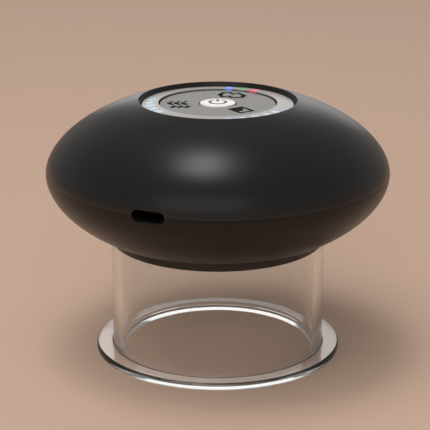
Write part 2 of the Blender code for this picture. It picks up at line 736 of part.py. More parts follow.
def build_upper_housing(head, port, mid_wall):
    """Upper half: domed shell, sunk panel well with its shelf, seam rebate and three posts."""
    outer = oval_arc(BODY_RADIUS, UPPER_RISE, UPPER_POWER, RIM_RADIUS, BODY_RADIUS, OUTER_ARC_PIECES)
    seam = SEAM_Z + SEAM_GAP / 2
    points = [(radius, max(SEAM_Z + height, seam)) for radius, height in outer]
    rebate_radius = INNER_REACH + TONGUE_THICKNESS + SEAT_GAP
    rebate_top = seam + TONGUE_HEIGHT
    points.append((rebate_radius, seam))
    points.append((rebate_radius, rebate_top))
    well_outer = RIM_RADIUS - RIM_SLOPE + SHELL_WALL
    inner = oval_arc(INNER_REACH, INNER_RISE, UPPER_POWER, INNER_REACH, well_outer, INNER_ARC_PIECES)
    points += [(radius, max(SEAM_Z + height, rebate_top)) for radius, height in inner]
    points.append((well_outer, SHELF_UNDER))
    points.append((RING_INNER_RADIUS, SHELF_UNDER))
    points.append((RING_INNER_RADIUS, WELL_WALL_TOP))
    points.append((RING_INNER_RADIUS + WELL_WALL, WELL_WALL_TOP))
    points.append((RING_INNER_RADIUS + WELL_WALL, SHELF_TOP))
    points.append((RIM_RADIUS - RIM_SLOPE, SHELF_TOP))
    points.append((RIM_RADIUS - RIM_SLOPE, RING_EDGE_Z))
    piece = turned_piece("upper_housing", points, BLACK_PLASTIC, steps=HOUSING_STEPS, parent=head)

    post_bottom = MAIN_BOARD_TOP + SEAT_GAP
    posts = add_guide("upper_posts", rods_mesh("upper_posts", POST_RADIUS, screw_places(),
                                               post_bottom, RIM_Z, POST_SIDES), head)
    combine(posts, mid_wall, "INTERSECT")
    join(piece, posts)
    hole_top = SCREW_SEAT + SCREW_LENGTH + SCREW_HOLE_SPARE
    holes = rods_mesh("pilot_holes", SCREW_RADIUS + SEAT_GAP, screw_places(),
                      post_bottom - OVERRUN, hole_top, HOLE_SIDES)
    cut(piece, add_guide("pilot_holes", holes, head))

    stems = [stem_outline(angles, SEAT_GAP) for angles in all_light_angles().values()]
    openings = outline_mesh("shelf_openings", stems, SHELF_UNDER - OVERRUN, SHELF_TOP + OVERRUN)
    cut(piece, add_guide("shelf_openings", openings, head))
    bites = rods_mesh("board_screw_holes", BOARD_SCREW_RADIUS + SEAT_GAP,
                      around(BOARD_SCREW_CIRCLE, BOARD_SCREW_ANGLES),
                      SHELF_UNDER - OVERRUN, SHELF_UNDER + BOARD_SCREW_BITE + SEAT_GAP, HOLE_SIDES)
    cut(piece, add_guide("board_screw_holes", bites, head))
    return cut(piece, slot_cutter(port, "upper_slot"))


def build_lower_housing(head, port, mid_wall):
    """Lower half: bowl with a flat underside, the neck, a raised bulkhead, bosses and the seam tongue."""
    seam = SEAM_Z - SEAM_GAP / 2
    outer = oval_arc(BODY_RADIUS, LOWER_DROP, LOWER_POWER, BODY_RADIUS, UNDERSIDE_RADIUS, OUTER_ARC_PIECES)
    points = [(radius, min(SEAM_Z - height, seam)) for radius, height in outer[:-1]]
    points.append((UNDERSIDE_RADIUS, UNDERSIDE_Z + UNDERSIDE_ROUND / 2))
    points.append((UNDERSIDE_RADIUS - UNDERSIDE_ROUND, UNDERSIDE_Z))
    points.append((NECK_RADIUS, UNDERSIDE_Z))
    points.append((NECK_RADIUS, GROOVE_TOP))
    points.append((NECK_RADIUS - GROOVE_DEPTH, GROOVE_TOP))
    points.append((NECK_RADIUS - GROOVE_DEPTH, NECK_BOTTOM + GROOVE_LIP))
    points.append((NECK_RADIUS, NECK_BOTTOM + GROOVE_LIP))
    points.append((NECK_RADIUS, NECK_BOTTOM))
    points.append((NECK_BORE, NECK_BOTTOM))
    ledge = NECK_BOTTOM + PLATE_RECESS + PLATE_THICKNESS + SEAT_GAP
    points.append((NECK_BORE, ledge))
    points.append((LEDGE_BORE, ledge))
    points.append((LEDGE_BORE, BULKHEAD_UNDER))
    points.append((PORT_RADIUS + SEAT_GAP, BULKHEAD_UNDER))
    points.append((PORT_RADIUS + SEAT_GAP, BULKHEAD_TOP))
    bulkhead_edge = SCREW_CIRCLE - BOSS_RADIUS / 2
    points.append((bulkhead_edge, BULKHEAD_TOP))
    points.append((bulkhead_edge, FLOOR_TOP))
    floor_radius = oval_radius(SEAM_Z - FLOOR_TOP, INNER_REACH, INNER_DROP, LOWER_POWER)
    inner = oval_arc(INNER_REACH, INNER_DROP, LOWER_POWER, floor_radius, INNER_REACH, INNER_ARC_PIECES)
    points += [(radius, SEAM_Z - height) for radius, height in inner]
    points.append((INNER_REACH, seam + TONGUE_HEIGHT - SEAT_GAP))
    points.append((INNER_REACH + TONGUE_THICKNESS, seam + TONGUE_HEIGHT - SEAT_GAP))
    points.append((INNER_REACH + TONGUE_THICKNESS, seam))
    piece = turned_piece("lower_housing", points, BLACK_PLASTIC, steps=HOUSING_STEPS, parent=head)

    board_seat = MAIN_BOARD_UNDER - SEAT_GAP
    bosses = rods_mesh("lower_bosses", BOSS_RADIUS, screw_places(), UNDERSIDE_Z, board_seat, POST_SIDES)
    spigots = rods_mesh("boss_spigots", SPIGOT_RADIUS, screw_places(),
                        SCREW_SEAT - OVERRUN, MAIN_BOARD_TOP, POST_SIDES)
    pillar = rods_mesh("board_pillar", PILLAR_RADIUS, [(0, PILLAR_INSET - MAIN_BOARD_RADIUS)],
                       UNDERSIDE_Z, board_seat, HOLE_SIDES)
    for mesh in (bosses, pillar):
        guide = add_guide(mesh.name, mesh, head)
        combine(guide, mid_wall, "INTERSECT")
        join(piece, guide)
    join(piece, add_guide("boss_spigots", spigots, head))
    head_wells = rods_mesh("screw_wells", SCREW_HEAD_RADIUS + SEAT_GAP, screw_places(),
                           UNDERSIDE_Z - OVERRUN, SCREW_SEAT, POST_SIDES)
    screw_holes = rods_mesh("screw_holes", SCREW_RADIUS + SEAT_GAP, screw_places(),
                            SCREW_SEAT - OVERRUN, MAIN_BOARD_TOP + OVERRUN, HOLE_SIDES)
    cut(piece, add_guide("screw_wells", head_wells, head))
    cut(piece, add_guide("screw_holes", screw_holes, head))
    return cut(piece, slot_cutter(port, "lower_slot"))


def build_neck_seal(head):
    """Silicone seal with two lips that grips the bore of the cup."""
    bottom = NECK_BOTTOM + GROOVE_LIP + SEAT_GAP
    top = GROOVE_TOP - SEAT_GAP
    outer = CUP_BORE - SEAT_GAP
    inner = NECK_RADIUS - GROOVE_DEPTH + SEAT_GAP
    waist = (outer - SEAT_GAP, (bottom + top) / 2)
    points = [(outer, top), waist, (outer, bottom), (inner, bottom), (inner, top)]
    return turned_piece("neck_seal", points, BLACK_RUBBER, steps=HOUSING_STEPS, parent=head)


def build_housing_screws(head):
    """Three screws up through the lower bosses into the upper posts."""
    head_top = SCREW_SEAT - SEAT_GAP
    head_under = head_top - SCREW_HEAD_HEIGHT
    tip = head_top + SCREW_LENGTH
    points = [(0, tip), (SCREW_RADIUS, tip), (SCREW_RADIUS, head_top), (SCREW_HEAD_RADIUS, head_top),
              (SCREW_HEAD_RADIUS, head_under), (0, head_under)]
    for index, (x, y) in enumerate(screw_places()):
        screw = turned_piece(f"housing_screw_{index + 1}", points, STEEL, closed=False,
                             steps=POST_SIDES, parent=head)
        screw.location = (x, y, 0)


# Panel
def build_light_ring(head):
    """Pale ring with a gently coned face, a thin inner lip and a hole for every light."""
    points = [(RING_RADIUS, RING_EDGE_Z), (RING_RADIUS, RING_UNDER_Z),
              (RING_INNER_RADIUS + WELL_WALL + SEAT_GAP, RING_UNDER_Z),
              (RING_INNER_RADIUS + WELL_WALL + SEAT_GAP, RING_TOP_Z - RING_LIP),
              (RING_INNER_RADIUS, RING_TOP_Z - RING_LIP), (RING_INNER_RADIUS, RING_TOP_Z)]
    ring = turned_piece("light_ring", points, PALE_DIFFUSER, steps=HOUSING_STEPS, parent=head)
    angles = [angle for group in all_light_angles().values() for angle in group]
    holes = outline_mesh("light_holes", light_outlines(angles, SEAT_GAP), RING_UNDER_Z - OVERRUN, RIM_Z)
    return cut(ring, add_guide("light_holes", holes, head))


def build_level_lights(head, side, angles):
    """Clear comb whose teeth are one group of level lights."""
    name = side + "_level_lights"
    top = RING_EDGE_Z
    bottom = SHELF_TOP - GUIDE_STEM_HEIGHT
    mesh = outline_mesh(name, [stem_outline(angles, 0)], bottom, top)
    comb = add_piece(name, mesh, BLUE_WHITE_LIGHT, head)
    half = LIGHT_ANGLE / 2
    spaces = [sector(LIGHT_RADIUS - LIGHT_WIDTH, LIGHT_RADIUS + LIGHT_WIDTH, low + half, high - half)
              for low, high in zip(angles, angles[1:])]
    gaps = outline_mesh(name + "_gaps", spaces, SHELF_TOP - SEAT_GAP, top + OVERRUN)
    return cut(comb, add_guide(name + "_gaps", gaps, head))


def build_mode_lights(head):
    """Three coloured light pipes at the back."""
    bottom = SHELF_TOP - GUIDE_STEM_HEIGHT
    looks = (("red", RED_LIGHT), ("green", GREEN_LIGHT), ("blue", BLUE_LIGHT))
    for (colour, look), angle in zip(looks, all_light_angles()["mode"]):
        name = "mode_light_" + colour
        mesh = outline_mesh(name, light_outlines([angle], 0), bottom, RING_EDGE_Z)
        add_piece(name, mesh, look, head)


def build_key_plate(head):
    """Grey plate that carries the three pictograms, with a post over each switch."""
    keys = add_axis("key_plate_axis", (0, 0, KEY_PLATE_UNDER))
    keys.parent = head
    hole = BUTTON_RADIUS + SEAT_GAP
    edge = KEY_PLATE_RADIUS - KEY_PLATE_ROUND
    points = [(edge, KEY_PLATE_THICKNESS), (KEY_PLATE_RADIUS, KEY_PLATE_THICKNESS - KEY_PLATE_ROUND),
              (KEY_PLATE_RADIUS, 0), (hole, 0), (hole, KEY_PLATE_THICKNESS)]
    plate = turned_piece("key_plate", points, GREY_METAL_PAINT, steps=HOUSING_STEPS, parent=keys)
    places = around(KEY_CIRCLE_RADIUS, (HEAT_KEY_ANGLE, LEVEL_KEY_ANGLE, MODE_KEY_ANGLE))
    reach = SWITCH_TOP + SEAT_GAP - KEY_PLATE_UNDER
    posts = rods_mesh("key_posts", KEY_POST_RADIUS, places, reach, KEY_PLATE_THICKNESS / 2, POST_SIDES)
    return join(plate, add_guide("key_posts", posts, keys))


def build_power_button(head):
    """Round button with a retaining lip under the key plate and a stem over its switch."""
    axis = add_axis("power_button_axis", (0, 0, BUTTON_TOP))
    axis.parent = head
    lip_top = KEY_PLATE_UNDER - PRESS_TRAVEL - SEAT_GAP - BUTTON_TOP
    lip_under = lip_top - BUTTON_LIP_THICKNESS
    stem_end = SWITCH_TOP + SEAT_GAP - BUTTON_TOP
    points = [(0, 0)]
    points += quarter_arc((BUTTON_RADIUS - BUTTON_ROUND, -BUTTON_ROUND), BUTTON_ROUND, 90, 0, 2)
    points += [(BUTTON_RADIUS, lip_top), (BUTTON_LIP_RADIUS, lip_top), (BUTTON_LIP_RADIUS, lip_under),
               (BUTTON_STEM_RADIUS, lip_under), (BUTTON_STEM_RADIUS, stem_end), (0, stem_end)]
    return turned_piece("power_button", points, SILVER, closed=False, parent=axis)


# Control board
def build_control_board(head):
    """Round board under the shelf with a small light source under every light."""
    mesh = rods_mesh("control_board", CONTROL_BOARD_RADIUS, [(0, 0)],
                     CONTROL_BOARD_UNDER, CONTROL_BOARD_TOP, HOUSING_STEPS)
    board = add_piece("control_board", mesh, CIRCUIT_BOARD, head)
    angles = [angle for group in all_light_angles().values() for angle in group]
    size = (LED_LENGTH, LED_LENGTH, LED_HEIGHT + CONTROL_BOARD_THICKNESS / 2)
    level = CONTROL_BOARD_TOP + LED_HEIGHT - size[2] / 2
    places = [(x, y, level) for x, y in around(LIGHT_RADIUS, angles)]
    leds = boxes_mesh("light_sources", [size] * len(angles), places, angles)
    join(board, add_guide("light_sources", leds, head))
    holes = rods_mesh("control_board_holes", BOARD_SCREW_RADIUS + SEAT_GAP,
                      around(BOARD_SCREW_CIRCLE, BOARD_SCREW_ANGLES),
                      CONTROL_BOARD_UNDER - OVERRUN, CONTROL_BOARD_TOP + OVERRUN, HOLE_SIDES)
    return cut(board, add_guide("control_board_holes", holes, head))


def build_switches(head):
    """Four small push switches on the control board."""
    keys = {"power_switch": (0, 0)}
    names = ("heat_switch", "level_switch", "mode_switch")
    for name, angle in zip(names, (HEAT_KEY_ANGLE, LEVEL_KEY_ANGLE, MODE_KEY_ANGLE)):
        keys[name] = around(KEY_CIRCLE_RADIUS, [angle])[0]
    bottom = CONTROL_BOARD_TOP + SEAT_GAP
    for name, (x, y) in keys.items():
        size = (SWITCH_SIDE, SWITCH_SIDE, SWITCH_HEIGHT)
        mesh = boxes_mesh(name, [size], [(x, y, bottom + SWITCH_HEIGHT / 2)])
        switch = add_piece(name, mesh, STEEL, head)
        knob = rods_mesh(name + "_knob", SWITCH_BUTTON_RADIUS, [(x, y)],
                         bottom + SWITCH_HEIGHT / 2, SWITCH_TOP, HOLE_SIDES)
        join(switch, add_guide(name + "_knob", knob, head))


def build_board_screws(head):
    """Three small screws that hold the control board under the shelf."""
    seat = CONTROL_BOARD_UNDER - SEAT_GAP
    under = seat - BOARD_SCREW_HEAD_HEIGHT
    tip = SHELF_UNDER + BOARD_SCREW_BITE
    points = [(0, tip), (BOARD_SCREW_RADIUS, tip), (BOARD_SCREW_RADIUS, seat),
              (BOARD_SCREW_HEAD_RADIUS, seat), (BOARD_SCREW_HEAD_RADIUS, under), (0, under)]
    for index, (x, y) in enumerate(around(BOARD_SCREW_CIRCLE, BOARD_SCREW_ANGLES)):
        screw = turned_piece(f"board_screw_{index + 1}", points, STEEL, closed=False,
                             steps=HOLE_SIDES, parent=head)
        screw.location = (x, y, 0)


# Charging socket, main board and battery
def build_charging_socket(port):
    """Socket with a thin shell, a deep mouth and a contact tongue."""
    mesh = outline_mesh("charging_socket", [stadium(SOCKET_WIDTH, SOCKET_HEIGHT)], SOCKET_END, SOCKET_MOUTH)
    socket = add_piece("charging_socket", mesh, STEEL, port)
    socket.rotation_euler = (math.radians(90), 0, 0)
    inside = stadium(SOCKET_WIDTH - 2 * SOCKET_SHELL, SOCKET_HEIGHT - 2 * SOCKET_SHELL)
    hollow = outline_mesh("socket_hollow", [inside], SOCKET_END + SOCKET_BACK, SOCKET_MOUTH + OVERRUN)
    cutter = add_guide("socket_hollow", hollow, port)
    cutter.rotation_euler = socket.rotation_euler
    cut(socket, cutter)
    length = SOCKET_TONGUE_LENGTH + SOCKET_BACK / 2
    middle = SOCKET_END + SOCKET_BACK / 2 + length / 2
    size = (SOCKET_TONGUE_WIDTH, length, SOCKET_TONGUE_THICKNESS)
    tongue = boxes_mesh("socket_tongue", [size], [(0, -middle, 0)])
    return join(socket, add_guide("socket_tongue", tongue, port))


def build_main_board(head):
    """Board shaped as a segment of a circle that fills the front half."""
    end = math.degrees(math.asin(MAIN_BOARD_CHORD / MAIN_BOARD_RADIUS))
    pieces = 16
    angles = [180 + end + (180 - 2 * end) * step / pieces for step in range(pieces + 1)]
    outline = around(MAIN_BOARD_RADIUS, angles)
    mesh = outline_mesh("main_board", [outline], MAIN_BOARD_UNDER, MAIN_BOARD_TOP)
    board = add_piece("main_board", mesh, CIRCUIT_BOARD, head)
    holes = rods_mesh("main_board_holes", SPIGOT_RADIUS + SEAT_GAP, screw_places()[1:],
                      MAIN_BOARD_UNDER - OVERRUN, MAIN_BOARD_TOP + OVERRUN, POST_SIDES)
    return cut(board, add_guide("main_board_holes", holes, head))


def battery_front():
    """Distance of the battery's front face from the axis, clear of the ceiling and the socket."""
    top = MAIN_BOARD_TOP + SEAT_GAP + PAD_THICKNESS + SEAT_GAP + BATTERY_THICKNESS - SEAM_Z
    corner = oval_radius(top, INNER_REACH, INNER_RISE, UPPER_POWER) - BATTERY_MARGIN
    turn = math.radians(abs(PORT_ANGLE))
    socket_corner = SOCKET_END * math.cos(turn) - SOCKET_WIDTH / 2 * math.sin(turn)
    return min(math.sqrt(corner ** 2 - (BATTERY_LENGTH / 2) ** 2), socket_corner - SEAT_GAP)


def build_battery(head):
    """Flat lithium cell on a foam pad over the main board."""
    middle = -battery_front() + BATTERY_WIDTH / 2
    pad_bottom = MAIN_BOARD_TOP + SEAT_GAP
    bottom = pad_bottom + PAD_THICKNESS + SEAT_GAP
    size = (BATTERY_LENGTH, BATTERY_WIDTH, BATTERY_THICKNESS)
    mesh = boxes_mesh("battery", [size], [(0, 0, 0)])
    cell = add_piece("battery", mesh, BATTERY_FILM, head)
    cell.location = (0, middle, bottom + BATTERY_THICKNESS / 2)
    round_edges(cell, BATTERY_ROUND)
    pad_size = (BATTERY_LENGTH - 2 * PAD_INSET, BATTERY_WIDTH - 2 * PAD_INSET, PAD_THICKNESS)
    pad = add_piece("battery_pad", boxes_mesh("battery_pad", [pad_size], [(0, 0, 0)]), FOAM, head)
    pad.location = (0, middle, pad_bottom + PAD_THICKNESS / 2)


def build_board_parts(head):
    """Controller chip and charging coil hung under the main board."""
    top = MAIN_BOARD_UNDER - SEAT_GAP
    chip_size = (CHIP_SIDE, CHIP_SIDE, CHIP_HEIGHT)
    chip_mesh = boxes_mesh("controller_chip", [chip_size], [(0, 0, 0)])
    chip = add_piece("controller_chip", chip_mesh, CHIP_RESIN, head)
    side = BOARD_PART_SIDE_SHARE * MAIN_BOARD_RADIUS
    front = -BOARD_PART_FRONT_SHARE * MAIN_BOARD_RADIUS
    chip.location = (side, front, top - CHIP_HEIGHT / 2)
    coil = turned_piece("charging_coil", rod_profile(COIL_RADIUS, -COIL_HEIGHT, 0), COPPER, closed=False,
                        steps=SMALL_STEPS, parent=head)
    coil.location = (-side, front, top)


# Vacuum pump, built along its own axis from the back of the motor
def build_pump_motor(pump):
    """Round motor can with a nose bearing and the bore that its shaft runs in."""
    corner = PUMP_CORNER / 4
    bore_end = MOTOR_LENGTH - MOTOR_BEARING_DEPTH
    nose = MOTOR_LENGTH + MOTOR_NOSE_LENGTH
    points = [(0, bore_end), (MOTOR_BORE, bore_end), (MOTOR_BORE, nose), (MOTOR_NOSE_RADIUS, nose),
              (MOTOR_NOSE_RADIUS, MOTOR_LENGTH), (MOTOR_RADIUS - corner, MOTOR_LENGTH),
              (MOTOR_RADIUS, MOTOR_LENGTH - corner), (MOTOR_RADIUS, 0), (0, 0)]
    return turned_piece("pump_motor", points, STEEL, closed=False, parent=pump)


def build_rotor(pump):
    """Motor shaft and the crank wheel that it drives."""
    start = MOTOR_LENGTH - MOTOR_BEARING_DEPTH + SEAT_GAP
    end = WHEEL_START + WHEEL_BORE_DEPTH - SEAT_GAP
    turned_piece("motor_shaft", rod_profile(SHAFT_RADIUS, start, end), STEEL, closed=False,
                 steps=POST_SIDES, parent=pump)
    bore_end = WHEEL_START + WHEEL_BORE_DEPTH
    points = [(0, WHEEL_END), (WHEEL_RADIUS, WHEEL_END), (WHEEL_RADIUS, WHEEL_START),
              (MOTOR_BORE, WHEEL_START), (MOTOR_BORE, bore_end), (0, bore_end)]
    wheel = turned_piece("crank_wheel", points, WHITE_PLASTIC, closed=False, parent=pump)
    pin = rods_mesh("crank_pin", CRANK_PIN_RADIUS, [(CRANK_PIN_OFFSET, 0)],
                    WHEEL_END - WHEEL_CLEARANCE, WHEEL_END + CRANK_PIN_LENGTH, HOLE_SIDES)
    return join(wheel, add_guide("crank_pin", pin, pump))


def pump_block(name, start, end, look, pump):
    """Square block with round corners between two places on the pump's axis."""
    outline = rounded_rectangle(PUMP_SIDE, PUMP_SIDE, PUMP_CORNER)
    return add_piece(name, outline_mesh(name, [outline], start, end), look, pump)


def build_crank_box(pump):
    """Block that holds the crank wheel, open towards the diaphragm."""
    box = pump_block("crank_box", CRANK_BOX_START, CRANK_BOX_END, WHITE_PLASTIC, pump)
    floor = CRANK_BOX_START + CRANK_BOX_WALL
    hole = MOTOR_NOSE_RADIUS + SEAT_GAP
    far_end = CRANK_BOX_END + OVERRUN
    near_end = CRANK_BOX_START - OVERRUN
    points = [(0, far_end), (CHAMBER_RADIUS, far_end), (CHAMBER_RADIUS, floor), (hole, floor),
              (hole, near_end), (0, near_end)]
    return cut(box, turned_guide("crank_chamber", points, parent=pump))


def build_wobble_plate(pump):
    """Plate with a hub round the crank pin, which rocks the diaphragm's cups."""
    hole = CRANK_PIN_OFFSET + CRANK_PIN_RADIUS + SEAT_GAP
    points = [(WOBBLE_RADIUS, WOBBLE_END), (WOBBLE_RADIUS, WOBBLE_END - WOBBLE_THICKNESS),
              (WOBBLE_HUB_RADIUS, WOBBLE_END - WOBBLE_THICKNESS), (WOBBLE_HUB_RADIUS, WOBBLE_START),
              (hole, WOBBLE_START), (hole, WOBBLE_END)]
    return turned_piece("wobble_plate", points, WHITE_PLASTIC, parent=pump)


def build_diaphragm(pump):
    """Rubber sheet with three cups."""
    sheet = pump_block("pump_diaphragm", SHEET_START, SHEET_END, BLACK_RUBBER, pump)
    places = around(DIAPHRAGM_CUP_CIRCLE, spread(0, 360 / DIAPHRAGM_CUPS, DIAPHRAGM_CUPS))
    cups = rods_mesh("cups", DIAPHRAGM_CUP_RADIUS, places, CUPS_START, SHEET_END - DIAPHRAGM_SHEET / 2,
                     POST_SIDES)
    hollows = rods_mesh("cup_hollows", DIAPHRAGM_CUP_RADIUS - DIAPHRAGM_WALL, places,
                        CUPS_START + DIAPHRAGM_WALL, SHEET_END + OVERRUN, POST_SIDES)
    join(sheet, add_guide("cups", cups, pump))
    return cut(sheet, add_guide("cup_hollows", hollows, pump))


def build_valve_plate(pump):
    """Plate with a pair of valve holes over each diaphragm cup."""
    plate = pump_block("pump_valve_plate", VALVE_PLATE_START, VALVE_PLATE_END, WHITE_PLASTIC, pump)
    middles = spread(0, 360 / DIAPHRAGM_CUPS, DIAPHRAGM_CUPS)
    half = math.degrees(VALVE_HOLE_RADIUS * 2 / DIAPHRAGM_CUP_CIRCLE)
    places = around(DIAPHRAGM_CUP_CIRCLE, [middle + side * half for middle in middles for side in (-1, 1)])
    holes = rods_mesh("valve_holes", VALVE_HOLE_RADIUS, places, VALVE_PLATE_START - OVERRUN,
                      VALVE_PLATE_END + OVERRUN, HOLE_SIDES)
    return cut(plate, add_guide("valve_holes", holes, pump))


def build_pump_cap(pump):
    """Hollow cap with an inlet and an outlet nozzle."""
    cap = pump_block("pump_cap", CAP_START, CAP_END, WHITE_PLASTIC, pump)
    places = [(0, -NOZZLE_OFFSET), (0, NOZZLE_OFFSET)]
    nozzles = rods_mesh("nozzles", BARB_RADIUS, places, CAP_END - BARB_RADIUS, NOZZLE_END, POST_SIDES)
    join(cap, add_guide("nozzles", nozzles, pump))
    hollow = rod_profile(CAP_HOLLOW_RADIUS, CAP_START - OVERRUN, CAP_START + CAP_HOLLOW_DEPTH)
    cut(cap, turned_guide("cap_hollow", hollow, parent=pump))
    bores = rods_mesh("nozzle_bores", BARB_BORE, places,
                      CAP_START + OVERRUN, NOZZLE_END + OVERRUN, HOLE_SIDES)
    return cut(cap, add_guide("nozzle_bores", bores, pump))


def build_pump_supports(head):
    """Rubber saddle under the motor and a flat pad under the crank box."""
    bottom = BULKHEAD_TOP + SEAT_GAP
    motor_under = PUMP_Z - MOTOR_RADIUS
    saddle_x = PUMP_START + SADDLE_PLACE
    height = motor_under + SADDLE_WRAP - bottom
    size = (SADDLE_THICKNESS, SADDLE_WIDTH, height)
    mesh = boxes_mesh("motor_saddle", [size], [(0, 0, height / 2)])
    saddle = add_piece("motor_saddle", mesh, BLACK_RUBBER, head)
    saddle.location = (saddle_x, PUMP_OFFSET, bottom)
    reach = SADDLE_THICKNESS
    motor_room = rod_profile(MOTOR_RADIUS + SEAT_GAP, -reach, reach)
    trough = turned_guide("saddle_trough", motor_room, parent=head)
    trough.location = (saddle_x, PUMP_OFFSET, PUMP_Z)
    trough.rotation_euler = (0, math.radians(90), 0)
    cut(saddle, trough)
    pad_height = PUMP_Z - PUMP_SIDE / 2 - SEAT_GAP - bottom
    pad_size = (CRANK_BOX_END - CRANK_BOX_START - 2 * SEAT_GAP, SADDLE_WIDTH, pad_height)
    pad_mesh = boxes_mesh("pump_pad", [pad_size], [(0, 0, pad_height / 2)])
    pad = add_piece("pump_pad", pad_mesh, BLACK_RUBBER, head)
    pad.location = (PUMP_START + (CRANK_BOX_START + CRANK_BOX_END) / 2, PUMP_OFFSET, bottom)


# Suction port, hoses and release valve
def cross_rod(name, radius, start, end, place, parent):
    """Guide rod along X between two places."""
    rod = add_guide(name, rods_mesh(name, radius, [(0, 0)], start, end, POST_SIDES), parent)
    rod.rotation_euler = (0, math.radians(90), 0)
    rod.location = place
    return rod


def build_suction_port(head):
    """Tube up through the bulkhead with a flange, a closed top and two barbs."""
    bottom = NECK_BOTTOM + PLATE_RECESS + PLATE_THICKNESS + SEAT_GAP
    flange_under = BULKHEAD_TOP + SEAT_GAP
    flange_top = flange_under + PORT_FLANGE_THICKNESS
    points = [(0, PORT_TOP), (PORT_RADIUS, PORT_TOP), (PORT_RADIUS, flange_top),
              (PORT_FLANGE_RADIUS, flange_top), (PORT_FLANGE_RADIUS, flange_under),
              (PORT_RADIUS, flange_under), (PORT_RADIUS, bottom), (PORT_BORE, bottom),
              (PORT_BORE, PORT_TOP - PORT_CAP), (0, PORT_TOP - PORT_CAP)]
    port = turned_piece("suction_port", points, WHITE_PLASTIC, closed=False, parent=head)
    inside = (PORT_RADIUS + PORT_BORE) / 2
    for name, side in (("right_barb", 1), ("left_barb", -1)):
        start, end = sorted((side * inside, side * PORT_BARB_END))
        join(port, cross_rod(name, BARB_RADIUS, start, end, (0, 0, PORT_BARB_Z), head))
    reach = PORT_BARB_END + OVERRUN
    return cut(port, cross_rod("barb_bore", BARB_BORE, -reach, reach, (0, 0, PORT_BARB_Z), head))


def build_hose(name, points, head):
    """Silicone hose with its bore, along points."""
    hose = add_piece(name, tube_mesh(name, points, HOSE_RADIUS, HOSE_BEVEL_STEPS), SILICONE, head)
    first, last = Vector(points[0]), Vector(points[-1])
    before = first + (first - Vector(points[1])).normalized() * OVERRUN
    after = last + (last - Vector(points[-2])).normalized() * OVERRUN
    bore = tube_mesh(name + "_bore", [before, *points, after], HOSE_BORE, HOSE_BEVEL_STEPS)
    return cut(hose, add_guide(name + "_bore", bore, head))


def build_hoses(head):
    """Looped hose from port to pump, and a straight one from port to release valve."""
    inlet_y = PUMP_OFFSET - NOZZLE_OFFSET
    inlet_tip = PUMP_START + NOZZLE_END
    pump_end = Vector((inlet_tip - HOSE_GRIP, inlet_y, PUMP_Z))
    port_end = Vector((PORT_BARB_END - HOSE_GRIP, 0, PORT_BARB_Z))
    leave = Vector((inlet_tip + HOSE_STRAIGHT, inlet_y, PUMP_Z))
    arrive = Vector((PORT_BARB_END + HOSE_STRAIGHT, 0, PORT_BARB_Z))
    bulge = Vector((HOSE_LOOP, 0, 0))
    reach = leave.x - arrive.x
    return_handle = arrive + bulge + Vector((reach, 0, 0))
    loop = interpolate_bezier(leave, leave + bulge, return_handle, arrive, HOSE_POINTS)
    build_hose("vacuum_hose", [pump_end, *loop, port_end], head)
    start = Vector((-PORT_BARB_END + HOSE_GRIP, 0, PORT_BARB_Z))
    end = Vector((-PORT_BARB_END - VALVE_TIP_GAP - HOSE_GRIP, 0, PORT_BARB_Z))
    build_hose("release_hose", [start, end], head)


